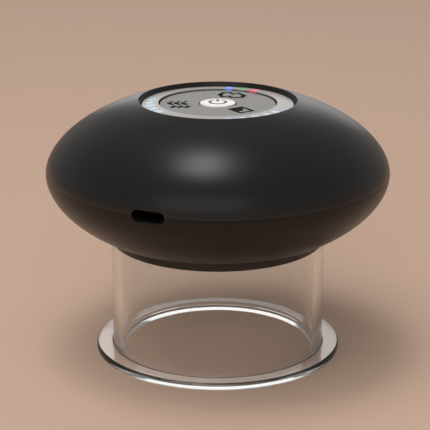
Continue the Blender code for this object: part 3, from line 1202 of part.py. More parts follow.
def build_release_valve(head):
    """Small solenoid valve: seat block, steel yoke, coil, plunger and its spring."""
    axis = add_axis("release_valve_axis", (VALVE_X, VALVE_OFFSET, 0))
    axis.parent = head
    bottom = BULKHEAD_TOP + SEAT_GAP
    body_top = bottom + VALVE_BODY_HEIGHT
    size = (VALVE_LENGTH, VALVE_WIDTH, VALVE_BODY_HEIGHT)
    body = add_piece("valve_body", boxes_mesh("valve_body", [size], [(0, 0, (bottom + body_top) / 2)]),
                     WHITE_PLASTIC, axis)
    half = VALVE_LENGTH / 2
    barb_place = (0, -VALVE_OFFSET, PORT_BARB_Z)
    barb = cross_rod("valve_barb", BARB_RADIUS, half - BARB_RADIUS, half + BARB_LENGTH, barb_place, axis)
    join(body, barb)
    well_bottom = body_top - VALVE_WELL_DEPTH
    well_radius = PLUNGER_RADIUS + SEAT_GAP
    well = rod_profile(well_radius, well_bottom, body_top + OVERRUN)
    cut(body, turned_guide("valve_well", well, parent=axis))
    bore = cross_rod("valve_bore", BARB_BORE, 0, half + BARB_LENGTH + OVERRUN, barb_place, axis)
    cut(body, bore)

    yoke_bottom = body_top + SEAT_GAP
    yoke_top = yoke_bottom + YOKE_HEIGHT
    outer = rounded_rectangle(VALVE_LENGTH, YOKE_HEIGHT, YOKE_THICKNESS)
    inner = rounded_rectangle(VALVE_LENGTH - 2 * YOKE_THICKNESS, YOKE_HEIGHT - 2 * YOKE_THICKNESS,
                              YOKE_THICKNESS / 2)
    yoke = add_piece("valve_yoke", outline_mesh("valve_yoke", [outer], -VALVE_WIDTH / 2, VALVE_WIDTH / 2),
                     STEEL, axis)
    window_reach = VALVE_WIDTH / 2 + OVERRUN
    window_mesh = outline_mesh("yoke_window", [inner], -window_reach, window_reach)
    window = add_guide("yoke_window", window_mesh, axis)
    for part in (yoke, window):
        part.location = (0, 0, (yoke_bottom + yoke_top) / 2)
        part.rotation_euler = (math.radians(90), 0, 0)
    cut(yoke, window)
    hole = rod_profile(well_radius, yoke_bottom - OVERRUN, yoke_bottom + YOKE_THICKNESS + SEAT_GAP)
    cut(yoke, turned_guide("yoke_hole", hole, parent=axis))

    coil_bottom = yoke_bottom + YOKE_THICKNESS + SEAT_GAP
    coil_top = yoke_top - YOKE_THICKNESS - SEAT_GAP
    winding = tube_profile(COIL_OUTER_RADIUS, well_radius, coil_bottom, coil_top)
    turned_piece("valve_coil", winding, COPPER, parent=axis)

    plunger_bottom = well_bottom + SEAT_GAP
    plunger_top = coil_top - PLUNGER_TRAVEL
    pocket = plunger_top - PLUNGER_POCKET_DEPTH
    points = [(0, pocket), (PLUNGER_POCKET_RADIUS, pocket), (PLUNGER_POCKET_RADIUS, plunger_top),
              (PLUNGER_RADIUS, plunger_top), (PLUNGER_RADIUS, plunger_bottom), (0, plunger_bottom)]
    turned_piece("valve_plunger", points, STEEL, closed=False, steps=POST_SIDES, parent=axis)

    start = pocket + SEAT_GAP + SPRING_WIRE
    end = coil_top - SPRING_WIRE
    steps = SPRING_TURNS * SPRING_POINTS
    helix = []
    for step in range(steps + 1):
        turn = 2 * math.pi * step / SPRING_POINTS
        helix.append((SPRING_RADIUS * math.cos(turn), SPRING_RADIUS * math.sin(turn),
                      start + (end - start) * step / steps))
    spring = tube_mesh("valve_spring", helix, SPRING_WIRE, SPRING_BEVEL_STEPS)
    add_piece("valve_spring", spring, STEEL, axis)


# Treatment head in the neck
def build_treatment_head(head):
    """Metal plate with light holes, the red window over it, the light board and the filter."""
    plate_under = NECK_BOTTOM + PLATE_RECESS
    plate_top = plate_under + PLATE_THICKNESS
    radius = NECK_BORE - SEAT_GAP
    hole = FILTER_RADIUS + SEAT_GAP
    points = [(radius, plate_top), (radius, plate_under + PLATE_ROUND), (radius - PLATE_ROUND, plate_under),
              (hole, plate_under), (hole, plate_top)]
    plate = turned_piece("treatment_plate", points, ALUMINIUM, steps=HOUSING_STEPS, parent=head)
    places = around(TREATMENT_LIGHT_CIRCLE, spread(0, 360 / TREATMENT_LIGHTS, TREATMENT_LIGHTS))
    holes = rods_mesh("plate_holes", TREATMENT_LIGHT_HOLE, places,
                      plate_under - OVERRUN, plate_top + OVERRUN, POST_SIDES)
    cut(plate, add_guide("plate_holes", holes, head))

    filter_points = rod_profile(FILTER_RADIUS, plate_under + SEAT_GAP, plate_top)
    disc = turned_piece("suction_filter", filter_points, STEEL, closed=False,
                        steps=POST_SIDES, parent=head)
    filter_places = [(0, 0)] + around(FILTER_HOLE_CIRCLE, spread(0, 360 / FILTER_HOLES, FILTER_HOLES))
    filter_holes = rods_mesh("filter_holes", FILTER_HOLE_RADIUS, filter_places, plate_under - OVERRUN,
                             plate_top + OVERRUN, HOLE_SIDES)
    cut(disc, add_guide("filter_holes", filter_holes, head))

    inner = PORT_RADIUS + SEAT_GAP
    outer = LEDGE_BORE - SEAT_GAP
    window_under = plate_top + SEAT_GAP
    window_top = window_under + WINDOW_THICKNESS
    turned_piece("light_window", tube_profile(outer, inner, window_under, window_top), RED_WINDOW,
                 steps=HOUSING_STEPS, parent=head)

    board_top = BULKHEAD_UNDER - SEAT_GAP
    board_under = board_top - TREATMENT_BOARD_THICKNESS
    board = turned_piece("treatment_board", tube_profile(outer, inner, board_under, board_top),
                         CIRCUIT_BOARD, steps=HOUSING_STEPS, parent=head)
    led_under = window_top + SEAT_GAP
    led_top = board_under + TREATMENT_BOARD_THICKNESS / 2
    size = (TREATMENT_LED_SIDE, TREATMENT_LED_SIDE, led_top - led_under)
    led_places = [(x, y, (led_top + led_under) / 2) for x, y in places]
    leds = boxes_mesh("treatment_leds", [size] * len(places), led_places)
    join(board, add_guide("treatment_leds", leds, head))


def build_massager():
    """Build every piece: the cup stays on its surface, the rest belongs to the head."""
    head = add_axis("massager_head")
    port = add_axis("charging_port_axis", (0, 0, SEAM_Z), (0, 0, PORT_ANGLE))
    port.parent = head
    pump = add_axis("pump_axis", (PUMP_START, PUMP_OFFSET, PUMP_Z), (0, 90, 0))
    pump.parent = head
    mid_wall = mid_wall_guide(head)

    build_cup()
    build_upper_housing(head, port, mid_wall)
    build_lower_housing(head, port, mid_wall)
    build_neck_seal(head)
    build_housing_screws(head)

    build_light_ring(head)
    for side in ("left", "right"):
        build_level_lights(head, side, all_light_angles()[side])
    build_mode_lights(head)
    build_key_plate(head)
    build_power_button(head)
    build_control_board(head)
    build_switches(head)
    build_board_screws(head)

    build_charging_socket(port)
    build_main_board(head)
    build_battery(head)
    build_board_parts(head)

    build_pump_motor(pump)
    build_rotor(pump)
    build_crank_box(pump)
    build_wobble_plate(pump)
    build_diaphragm(pump)
    build_valve_plate(pump)
    build_pump_cap(pump)
    build_pump_supports(head)

    build_suction_port(head)
    build_hoses(head)
    build_release_valve(head)
    build_treatment_head(head)
    bpy.context.view_layer.update()


build_massager()
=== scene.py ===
# %% [markdown]
# # Electric cupping massager
# A flattened black head sits on a clear suction cup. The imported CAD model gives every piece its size
# and its place. This lesson dresses it: the pieces that show are turned again with finer steps and
# soft edges, each gets the finish of its real material, and the pieces inside keep their CAD form.

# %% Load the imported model
import json
import math

import bmesh
import bpy
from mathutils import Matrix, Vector


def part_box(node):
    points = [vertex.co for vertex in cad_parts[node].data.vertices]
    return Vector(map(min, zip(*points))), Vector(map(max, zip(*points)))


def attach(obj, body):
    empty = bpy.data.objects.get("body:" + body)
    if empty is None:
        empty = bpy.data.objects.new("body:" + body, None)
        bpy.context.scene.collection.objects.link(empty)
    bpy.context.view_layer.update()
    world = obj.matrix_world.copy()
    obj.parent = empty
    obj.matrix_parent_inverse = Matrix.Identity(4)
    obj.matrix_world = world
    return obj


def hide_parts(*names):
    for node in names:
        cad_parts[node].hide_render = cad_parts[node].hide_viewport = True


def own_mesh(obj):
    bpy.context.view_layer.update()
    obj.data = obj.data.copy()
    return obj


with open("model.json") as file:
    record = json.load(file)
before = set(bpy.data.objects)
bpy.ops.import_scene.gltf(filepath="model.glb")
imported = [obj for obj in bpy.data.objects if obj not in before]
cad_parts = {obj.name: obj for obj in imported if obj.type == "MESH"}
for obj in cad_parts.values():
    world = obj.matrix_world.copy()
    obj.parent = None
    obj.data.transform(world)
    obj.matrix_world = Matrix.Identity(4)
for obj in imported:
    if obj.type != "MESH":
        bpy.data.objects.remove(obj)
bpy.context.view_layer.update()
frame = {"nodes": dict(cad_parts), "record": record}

# %% [markdown]
# ## Small tools
# Colours are picked as sRGB hex values, as a paint chart gives them, but shaders work in linear light,
# so one function converts them. A second one adds a node to a material, sets its values and links its
# inputs, which keeps each finish short enough to read as a recipe.

# %% Colours and nodes
MM = 0.001


def linear(colour):
    """Turn an sRGB hex colour into the linear numbers that a shader takes."""
    parts = [int(colour[index:index + 2], 16) / 255 for index in (1, 3, 5)]
    return (*[part / 12.92 if part <= 0.04045 else ((part + 0.055) / 1.055) ** 2.4 for part in parts], 1.0)


def add_node(tree, kind, inputs=(), **settings):
    """Add a node; a socket given as an input is linked, anything else is set as its value."""
    node = tree.nodes.new(kind)
    for name, value in settings.items():
        setattr(node, name, value)
    for key, value in dict(inputs).items():
        if isinstance(value, bpy.types.NodeSocket):
            tree.links.new(value, node.inputs[key])
        else:
            node.inputs[key].default_value = value
    return node


def new_finish(name, colour, roughness, **sockets):
    """Start a finish: returns the material, its node tree, its shader and the place on the object."""
    finish = bpy.data.materials.new(name)
    finish.use_nodes = True
    tree = finish.node_tree
    shader = tree.nodes["Principled BSDF"]
    shader.inputs["Base Color"].default_value = linear(colour)
    shader.inputs["Roughness"].default_value = roughness
    for key, value in sockets.items():
        shader.inputs[key.replace("_", " ")].default_value = value
    place = add_node(tree, "ShaderNodeTexCoord").outputs["Object"]
    return finish, tree, shader, place


print("linear mid grey:", round(linear("#808080")[0], 3))

# %% [markdown]
# ## Sizes from the CAD model
# Whatever is turned again here has to end where its CAD solid ends, so its radius and its levels are
# read from that solid. Pieces that sit on each other keep the CAD model's gap of 0.3 mm. Only fillets,
# seams and finishes are new.

# %% Radius and levels of a CAD piece
SEAT_GAP = 0.3


def radius_of(node):
    """Outer radius of a round CAD piece that is centred on the axis, in millimetres."""
    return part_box(node)[1].x / MM


def underside(node):
    """Lowest level of a CAD piece, in millimetres."""
    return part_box(node)[0].z / MM


def top_of(node):
    """Highest level of a CAD piece, in millimetres."""
    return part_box(node)[1].z / MM


print("head radius", round(radius_of("upper_housing"), 2), "mm, top", round(top_of("upper_housing"), 2), "mm")

# %% [markdown]
# ## Turned pieces
# Almost every outer piece is round, so it is drawn as half of its section and turned about the Z axis
# with a Screw modifier. Corners of moulded parts are never knife sharp, so each corner of the section
# can carry a fillet. Smooth shading would let a fillet's curve creep over the flat face beside it, and
# clear plastic would show that as a bent mirror, so a holding point stands close beside each fillet.
# A fillet takes at most 0.44 of the edge beside it, so two of them fit on one edge with their points.
# 144 steps keep the outline smooth where the CAD solid is content with 36.

# %% Sections and turning
TURN_STEPS = 144
LONGEST_FILLET = 0.44
HOLD_REACH = 1.1
WELD_MM = 0.0002


def filleted(corners, pieces=5):
    """Round corners given as (radius, height, fillet) in millimetres, as a closed section."""
    points = []
    for index, (radius, height, fillet) in enumerate(corners):
        here = Vector((radius, height))
        before = Vector(corners[index - 1][:2]) - here
        after = Vector(corners[(index + 1) % len(corners)][:2]) - here
        if not fillet:
            points.append(tuple(here))
            continue
        reach = min(fillet / math.tan(before.angle(after) / 2), before.length * LONGEST_FILLET,
                    after.length * LONGEST_FILLET)
        hold = reach * HOLD_REACH
        start = here + before.normalized() * reach
        end = here + after.normalized() * reach
        points.append(tuple(here + before.normalized() * hold))
        for step in range(pieces + 1):
            t = step / pieces
            points.append(tuple(start * (1 - t) ** 2 + here * 2 * t * (1 - t) + end * t ** 2))
        points.append(tuple(here + after.normalized() * hold))
    return points


def settle(piece, finish, sharp=32):
    """Apply the modifiers, turn the faces outwards, shade smoothly up to an angle and give the finish."""
    graph = bpy.context.evaluated_depsgraph_get()
    mesh = bpy.data.meshes.new_from_object(piece.evaluated_get(graph))
    piece.modifiers.clear()
    piece.data = mesh
    shape = bmesh.new()
    shape.from_mesh(mesh)
    bmesh.ops.remove_doubles(shape, verts=shape.verts, dist=WELD_MM * MM)
    bmesh.ops.recalc_face_normals(shape, faces=shape.faces)
    shape.to_mesh(mesh)
    shape.free()
    mesh.shade_smooth()
    mesh.set_sharp_from_angle(angle=math.radians(sharp))
    mesh.materials.clear()
    mesh.materials.append(finish)
    return piece


def new_piece(name, mesh):
    """Put a mesh into the scene as an object."""
    piece = bpy.data.objects.new(name, mesh)
    bpy.context.scene.collection.objects.link(piece)
    return piece


def turned(name, points, finish, steps=TURN_STEPS, sharp=32):
    """Turn a section of (radius, height) points in millimetres into a solid."""
    mesh = bpy.data.meshes.new(name)
    shape = bmesh.new()
    ring = [shape.verts.new((radius * MM, 0, height * MM)) for radius, height in points]
    on_axis = points[0][0] == 0 and points[-1][0] == 0
    pairs = list(zip(ring, ring[1:])) + ([] if on_axis else [(ring[-1], ring[0])])
    for pair in pairs:
        shape.edges.new(pair)
    shape.to_mesh(mesh)
    shape.free()
    piece = new_piece(name, mesh)
    screw = piece.modifiers.new("turn", "SCREW")
    screw.steps = screw.render_steps = steps
    screw.use_merge_vertices = True
    screw.merge_threshold = WELD_MM / 2 * MM
    return settle(piece, finish, sharp)


def cut_away(piece, cutter, finish, operation="DIFFERENCE"):
    """Cut one solid out of another, or join it on with UNION, and drop the second one."""
    step = piece.modifiers.new("cut", "BOOLEAN")
    step.operation = operation
    step.object = cutter
    settle(piece, finish)
    bpy.data.objects.remove(cutter)
    return piece


print("a fillet takes", len(filleted([(0, 0, 0), (5, 0, 0), (5, 5, 1), (0, 5, 0)])) - 3, "points")

# %% [markdown]
# ## Camera
# The photograph looks down at the massager by about 17 degrees through a long lens. The distance, lens
# and aim below came from fitting the head's outline, the panel and the cup to the photograph.

# %% Camera
LOOK_DOWN = 17.493
SENSOR_WIDTH = 36
FOCAL_LENGTH = 139.395
CAMERA_PLACE = (-0.79, -457.8, 183.95)
camera_data = bpy.data.cameras.new("camera")
camera_data.sensor_width = SENSOR_WIDTH
camera_data.lens = FOCAL_LENGTH
camera = bpy.data.objects.new("camera", camera_data)
camera.location = [value * MM for value in CAMERA_PLACE]
camera.rotation_euler = (math.radians(90 - LOOK_DOWN), 0, 0)
bpy.context.scene.collection.objects.link(camera)
bpy.context.scene.camera = camera
bpy.context.scene.view_settings.view_transform = "Standard"
print("lens", FOCAL_LENGTH, "mm, looking down by", LOOK_DOWN, "degrees")

# %% [markdown]
# ## Floor
# A wide pale floor is all the set there is. It is painted matt, so it shows a soft shadow and no mirror
# image, and its faint grain is drawn at 1.2 mm. It lies a hair under the cup, because two faces at the
# same level would flicker.

# %% Floor
FLOOR_RADIUS = 6.0
FLOOR_GAP = 0.02
floor_paint, tree, shader, place = new_finish("matte_floor_paint", "#D2B29C", 0.75)
grain = add_node(tree, "ShaderNodeTexNoise", {"Vector": place, "Scale": 1 / (1.2 * MM), "Detail": 3.0})
bump = add_node(tree, "ShaderNodeBump", {"Height": grain.outputs["Fac"], "Strength": 0.08,
                                         "Distance": 0.2 * MM})
tree.links.new(bump.outputs["Normal"], shader.inputs["Normal"])

floor_mesh = bpy.data.meshes.new("floor")
shape = bmesh.new()
bmesh.ops.create_circle(shape, cap_ends=True, segments=96, radius=FLOOR_RADIUS)
shape.to_mesh(floor_mesh)
shape.free()
floor_mesh.materials.append(floor_paint)
floor = new_piece("floor", floor_mesh)
floor.location.z = -FLOOR_GAP * MM
print("floor radius", FLOOR_RADIUS, "m")

# %% [markdown]
# ## Lamps
# Black gloss and clear plastic show mostly what they mirror, so the light is built from what they see.
# A small softbox hangs nearly straight above and makes the one soft spot on the front of the head. Four
# pale panels stand behind the object, each placed by following a mirror direction back from the camera.
# The shoulders of the head mirror the two low ones. The flat faces of the cup's foot and of the control
# panel mirror the two high ones. A wide dim panel in front gives the head a faint sheen. The rest of
# the light falls from two large lamps that mirrors don't see, so the head stays black.


# %% Lamps
def soft_lamp(name, place, aim, width, height, watts):
    """Hang a rectangular soft lamp at a place in metres and turn it to its aim."""
    data = bpy.data.lights.new(name, "AREA")
    data.shape = "RECTANGLE"
    data.size, data.size_y, data.energy = width, height, watts
    lamp = bpy.data.objects.new(name, data)
    lamp.location = place
    lamp.rotation_euler = (Vector(aim) - Vector(place)).to_track_quat("-Z", "Y").to_euler()
    bpy.context.scene.collection.objects.link(lamp)
    return lamp


FLOOR_CENTRE = (0, 0, 0)
CUP_TOP_CENTRE = (0, 0, 0.04)
HEAD_CENTRE = (0, 0, 0.05)
soft_lamp("spot_softbox", (-0.074, 0.004, 0.80), HEAD_CENTRE, 0.27, 0.18, 0.92)
overhead = soft_lamp("overhead_fill", (-0.3, -0.2, 1.5), HEAD_CENTRE, 1.2, 1.2, 10.6)
overhead.visible_glossy = False
front_fill = soft_lamp("front_fill", (-0.2, -1.3, 0.8), FLOOR_CENTRE, 1.0, 0.6, 4.0)
front_fill.visible_glossy = False
soft_lamp("wall_panel", (0.057, 1.54, 0.474), CUP_TOP_CENTRE, 0.77, 0.238, 0.59)
soft_lamp("upper_wall_panel", (0.028, 1.47, 0.672), CUP_TOP_CENTRE, 0.73, 0.182, 0.44)
soft_lamp("right_wall_panel", (0.33, 1.5, 0.205), HEAD_CENTRE, 0.344, 0.31, 0.36)
soft_lamp("left_wall_panel", (-0.238, 1.5, 0.185), HEAD_CENTRE, 0.165, 0.35, 0.18)
soft_lamp("front_panel", (-0.3, -1.5, 1.0), CUP_TOP_CENTRE, 1.8, 1.2, 2.6)

# %% [markdown]
# ## Room
# The room around the set is a plain pale background, a little brighter near its walls than at its
# ceiling. It fills the shadows and keeps the black plastic from looking like a hole.

# %% Room
WALL_STRENGTH = 0.32
CEILING_STRENGTH = 0.26
world = bpy.data.worlds.new("pale_room")
world.use_nodes = True
bpy.context.scene.world = world
tree = world.node_tree
direction = add_node(tree, "ShaderNodeTexCoord").outputs["Generated"]
upward = add_node(tree, "ShaderNodeSeparateXYZ", {"Vector": direction})
wall = add_node(tree, "ShaderNodeMapRange", {
    "Value": upward.outputs["Z"], "From Min": 0.1, "From Max": 0.6, "To Min": WALL_STRENGTH,
    "To Max": CEILING_STRENGTH}, interpolation_type="SMOOTHSTEP")
room = tree.nodes["Background"]
room.inputs["Color"].default_value = linear("#F6F1EC")
tree.links.new(wall.outputs["Result"], room.inputs["Strength"])
print("room strength", WALL_STRENGTH, "at the walls,", CEILING_STRENGTH, "at the ceiling")

# %% [markdown]
# ## Black head
# The head is two injection moulded shells of black ABS. The tool is spark eroded, so the surface has a
# fine even grain that spreads the lamp into a soft spot instead of a mirror image. The real grain is
# about 0.1 mm, too fine for this picture, so it is drawn at 0.5 mm and kept faint. The lower shell's
# grain is deeper, for grip, so it shines less than the upper one.

# %% Moulded ABS
def moulded_abs(name, shine, relief):
    """Black ABS with an eroded grain of a given relief and the faint polish of handling."""
    finish, tree, shader, place = new_finish(name, "#121110", 0.32, IOR=1.53, Specular_IOR_Level=shine)
    grain = add_node(tree, "ShaderNodeTexNoise", {"Vector": place, "Scale": 1 / (0.5 * MM), "Detail": 4.0})
    bump = add_node(tree, "ShaderNodeBump", {"Height": grain.outputs["Fac"], "Strength": relief,
                                             "Distance": 0.05 * MM})
    tree.links.new(bump.outputs["Normal"], shader.inputs["Normal"])
    handling = add_node(tree, "ShaderNodeTexNoise", {"Vector": place, "Scale": 1 / (28 * MM), "Detail": 2.0})
    polish = add_node(tree, "ShaderNodeMapRange", {
        "Value": handling.outputs["Fac"], "From Min": 0.3, "From Max": 0.7, "To Min": 0.29, "To Max": 0.34})
    tree.links.new(polish.outputs["Result"], shader.inputs["Roughness"])
    return finish


upper_abs = moulded_abs("moulded_abs_satin", 0.5, 0.12)
lower_abs = moulded_abs("moulded_abs_dull", 0.3, 0.2)
print("finishes:", upper_abs.name, "and", lower_abs.name)

# %% [markdown]
# The shell's outline is a flattened oval: an ellipse's formula with a power a little under 2, which
# draws the shoulder in a little. One function returns points along it. The arc stops a short run before
# the rim and before the seam, which leaves room for their rounding. The upper section goes on through
# the rim and down the wall of the panel well to the shelf, where a collar stands up under the light
# ring. On the inside it ends in a groove at the seam.

# %% Upper shell
BODY_RADIUS = radius_of("upper_housing")
RIM_TOP = top_of("upper_housing")
SEAM_HEIGHT = (underside("charging_socket") + top_of("charging_socket")) / 2
SEAM_LINE = 0.04
SEAM_ROUND = 0.03
GROOVE_INSET = 1.1
GROOVE_DEPTH = 1.6
SHELL_WALL = 2.3
INNER_RADIUS = BODY_RADIUS - SHELL_WALL
UPPER_POWER = 1.83
RIM_RADIUS = 22.47
RIM_FILLET = 0.3
RIM_RUN = 0.4
EDGE_RUN = 0.01
OUTER_POINTS = 48
INNER_POINTS = 20
DOME_END = 24.2
WELL_OUTER = 24.17
WELL_RADIUS = radius_of("light_ring") + SEAT_GAP
WELL_MOUTH = underside("light_ring") + 1.3
SHELF_THICKNESS = 2.8
SHELF_HOLE = 16.75
COLLAR_RADIUS = 17.45
COLLAR_HEIGHT = 1.5


def oval_arc(reach, rise, power, first, last, pieces):
    """Points (radius, height) along a flattened oval between two radii."""
    start, end = (math.acos(min(radius / reach, 1) ** (power / 2)) for radius in (first, last))
    turns = [start + (end - start) * step / pieces for step in range(pieces + 1)]
    return [(reach * max(math.cos(turn), 0) ** (2 / power), rise * max(math.sin(turn), 0) ** (2 / power))
            for turn in turns]


def oval_share(radius, power):
    """Height of a flattened oval at a radius, as a share of its full height."""
    return (1 - (radius / BODY_RADIUS) ** power) ** (1 / power)


upper_rise = (RIM_TOP - SEAM_HEIGHT) / oval_share(RIM_RADIUS, UPPER_POWER)
upper_edge = SEAM_HEIGHT + SEAM_LINE / 2
outside = [(radius, SEAM_HEIGHT + height) for radius, height in
           oval_arc(BODY_RADIUS, upper_rise, UPPER_POWER, RIM_RADIUS + RIM_RUN, BODY_RADIUS - EDGE_RUN,
                    OUTER_POINTS)]
groove_top = upper_edge + GROOVE_DEPTH
inside = [(radius, max(SEAM_HEIGHT + height, groove_top)) for radius, height in
          oval_arc(INNER_RADIUS, upper_rise - SHELL_WALL, UPPER_POWER, INNER_RADIUS, DOME_END,
                   INNER_POINTS)]
rim = filleted([outside[0] + (0,), (RIM_RADIUS, RIM_TOP, RIM_FILLET), (WELL_RADIUS, WELL_MOUTH, 0)], 6)[2:-2]
shelf = underside("light_ring") - SEAT_GAP
upper_section = [(WELL_RADIUS, WELL_MOUTH)] + rim[::-1] + outside
upper_section += [(BODY_RADIUS, upper_edge + SEAM_ROUND), (BODY_RADIUS - SEAM_ROUND, upper_edge),
                  (BODY_RADIUS - GROOVE_INSET, upper_edge), (BODY_RADIUS - GROOVE_INSET, groove_top)] + inside
upper_section += [(WELL_OUTER, shelf - SHELF_THICKNESS), (SHELF_HOLE, shelf - SHELF_THICKNESS),
                  (SHELF_HOLE, shelf + COLLAR_HEIGHT), (COLLAR_RADIUS, shelf + COLLAR_HEIGHT),
                  (COLLAR_RADIUS, shelf), (WELL_RADIUS, shelf)]
upper_shell = turned("upper_shell", upper_section, upper_abs)
print("rim height", round(max(height for _, height in upper_section), 2), "mm")

# %% [markdown]
# The lower shell is a bowl with a flat underside. Below it stands the neck that plugs into the cup,
# with a groove for the seal, a step for the treatment plate and a raised bulkhead with the hole of the
# suction port. A tongue on its edge fits the upper shell's groove. The seam between the shells is a
# fine dark line with slightly rounded edges. The levels of plate, bulkhead and bowl are heights over
# the neck's end.

# %% Lower shell
LOWER_POWER = 1.88
FOOT_RADIUS = 34.0
FOOT_RUN = 0.5
NECK_RADIUS = 27.3
SEAL_GROOVE = 25.6
GROOVE_LIP = 0.8
PLATE_RADIUS = 23.6
PLATE_DEPTH = 1.8
NECK_BORE = 22.4
PORT_HOLE = 4.5
BULKHEAD_UNDER = 5.6
BULKHEAD_TOP = 7.4
BULKHEAD_EDGE = 27.6
BOWL_FLOOR = 6.0
BOWL_EDGE = 32.0
TONGUE_INSET = 1.4
TONGUE_HEIGHT = 1.3
CUP_TOP = top_of("suction_cup")
foot_level = CUP_TOP + SEAT_GAP
neck_end = underside("lower_housing")
lower_drop = (SEAM_HEIGHT - foot_level) / oval_share(FOOT_RADIUS, LOWER_POWER)
lower_edge = SEAM_HEIGHT - SEAM_LINE / 2
outside = [(radius, SEAM_HEIGHT - height) for radius, height in
           oval_arc(BODY_RADIUS, lower_drop, LOWER_POWER, BODY_RADIUS - EDGE_RUN, FOOT_RADIUS + FOOT_RUN,
                    OUTER_POINTS)]
inside = [(radius, SEAM_HEIGHT - height) for radius, height in
          oval_arc(INNER_RADIUS, lower_drop - SHELL_WALL, LOWER_POWER, FOOT_RADIUS, INNER_RADIUS,
                   INNER_POINTS)]
neck = filleted([
    outside[-1] + (0,), (FOOT_RADIUS, foot_level, 0.35), (NECK_RADIUS, foot_level, 0.1),
    (NECK_RADIUS, CUP_TOP - 0.1, 0), (SEAL_GROOVE, CUP_TOP - 0.1, 0), (SEAL_GROOVE, neck_end + GROOVE_LIP, 0),
    (NECK_RADIUS, neck_end + GROOVE_LIP, 0.1), (NECK_RADIUS, neck_end, 0.15), (PLATE_RADIUS, neck_end, 0.15),
    (PLATE_RADIUS, neck_end + PLATE_DEPTH, 0), (NECK_BORE, neck_end + PLATE_DEPTH, 0),
    (NECK_BORE, neck_end + BULKHEAD_UNDER, 0), (PORT_HOLE, neck_end + BULKHEAD_UNDER, 0),
    (PORT_HOLE, neck_end + BULKHEAD_TOP, 0), (BULKHEAD_EDGE, neck_end + BULKHEAD_TOP, 0),
    (BULKHEAD_EDGE, neck_end + BOWL_FLOOR, 0), (BOWL_EDGE, neck_end + BOWL_FLOOR, 0)])
lower_section = [(BODY_RADIUS - SEAM_ROUND, lower_edge), (BODY_RADIUS, lower_edge - SEAM_ROUND)]
lower_section += outside + neck[1:] + inside[1:-1]
lower_section += [(INNER_RADIUS, lower_edge - TONGUE_HEIGHT), (INNER_RADIUS, lower_edge + TONGUE_HEIGHT),
                  (BODY_RADIUS - TONGUE_INSET, lower_edge + TONGUE_HEIGHT),
                  (BODY_RADIUS - TONGUE_INSET, lower_edge)]
lower_shell = turned("lower_shell", lower_section, lower_abs)
print("lower shell points:", len(lower_section))

# %% [markdown]
# ## Charging slot
# The slot lies across the seam, 22 degrees to the left of the front. Its mouth has a tiny even bevel
# that catches the light. The cutter is a stack of rounded outlines wrapped round the head: straight
# inside the wall, then growing towards the surface. It ends 2 mm outside, because its flat end would
# otherwise dip back into the curved wall. Near the seam both shells follow almost the same oval, so one
# rise and one power stand for both.

# %% Slot cutter
SLOT_TURN = -90 - 22.1
SLOT_WIDTH = 9.25
SLOT_HEIGHT = 3.0
SLOT_CORNER = 1.45
SLOT_RISE = 24.2
SLOT_POWER = 1.855


def rounded_outline(width, height, corner, pieces=8):
    """Outline of a rectangle with round corners, as (x, y) points in millimetres."""
    points = []
    for quarter, (side_x, side_y) in enumerate(((1, 1), (-1, 1), (-1, -1), (1, -1))):
        for step in range(pieces + 1):
            turn = math.radians(90 * (quarter + step / pieces))
            points.append((side_x * (width / 2 - corner) + corner * math.cos(turn),
                           side_y * (height / 2 - corner) + corner * math.sin(turn)))
    return points


def slot_solid(name, rings):
    """Solid for the slot; each ring is (depth under the surface, growth of the outline)."""
    mesh = bpy.data.meshes.new(name)
    shape = bmesh.new()
    loops = []
    for depth, growth in rings:
        loop = []
        for across, up in rounded_outline(SLOT_WIDTH + 2 * growth, SLOT_HEIGHT + 2 * growth,
                                          SLOT_CORNER + growth):
            surface = BODY_RADIUS * (1 - (abs(up) / SLOT_RISE) ** SLOT_POWER) ** (1 / SLOT_POWER)
            turn = math.radians(SLOT_TURN) + across / BODY_RADIUS
            loop.append(shape.verts.new(((surface - depth) * math.cos(turn) * MM,
                                         (surface - depth) * math.sin(turn) * MM, (SEAM_HEIGHT + up) * MM)))
        loops.append(loop)
    for low, high in zip(loops, loops[1:]):
        for index in range(len(low)):
            after = (index + 1) % len(low)
            shape.faces.new((low[index], low[after], high[after], high[index]))
    shape.faces.new(loops[0][::-1])
    shape.faces.new(loops[-1])
    bmesh.ops.triangulate(shape, faces=shape.faces[:])
    bmesh.ops.recalc_face_normals(shape, faces=shape.faces)
    shape.to_mesh(mesh)
    shape.free()
    return new_piece(name, mesh)


print("slot", SLOT_WIDTH, "x", SLOT_HEIGHT, "mm")

# %% Charging slot
SLOT_RINGS = [(5.0, 0), (0.38, 0), (0.12, 0.1), (0.0, 0.32), (-2.0, 0.7)]
for shell, finish in ((upper_shell, upper_abs), (lower_shell, lower_abs)):
    cut_away(shell, slot_solid("slot_" + shell.name, SLOT_RINGS), finish)

# %% [markdown]
# ## Screw wells
# Three screws hold the shells together from below. Each head sits in a round well in a boss of the
# lower shell, over the rim of the cup, so the wells show only when the head is lifted. The boss is
# joined on first. Then a turned plug, a little wider than the head, cuts the well.

# %% Screw wells
SCREW_HEAD_HEIGHT = 1.2
HEAD_PLAY = 0.02
BOSS_RADIUS = 3.2
OVERLAP = 1.0


def upright_rod(name, radius, low, high, place):
    """A round rod between two levels in millimetres, standing at a place in metres."""
    rod = turned(name, [(0, high), (radius, high), (radius, low), (0, low)], lower_abs, steps=48)
    rod.location = place
    return rod


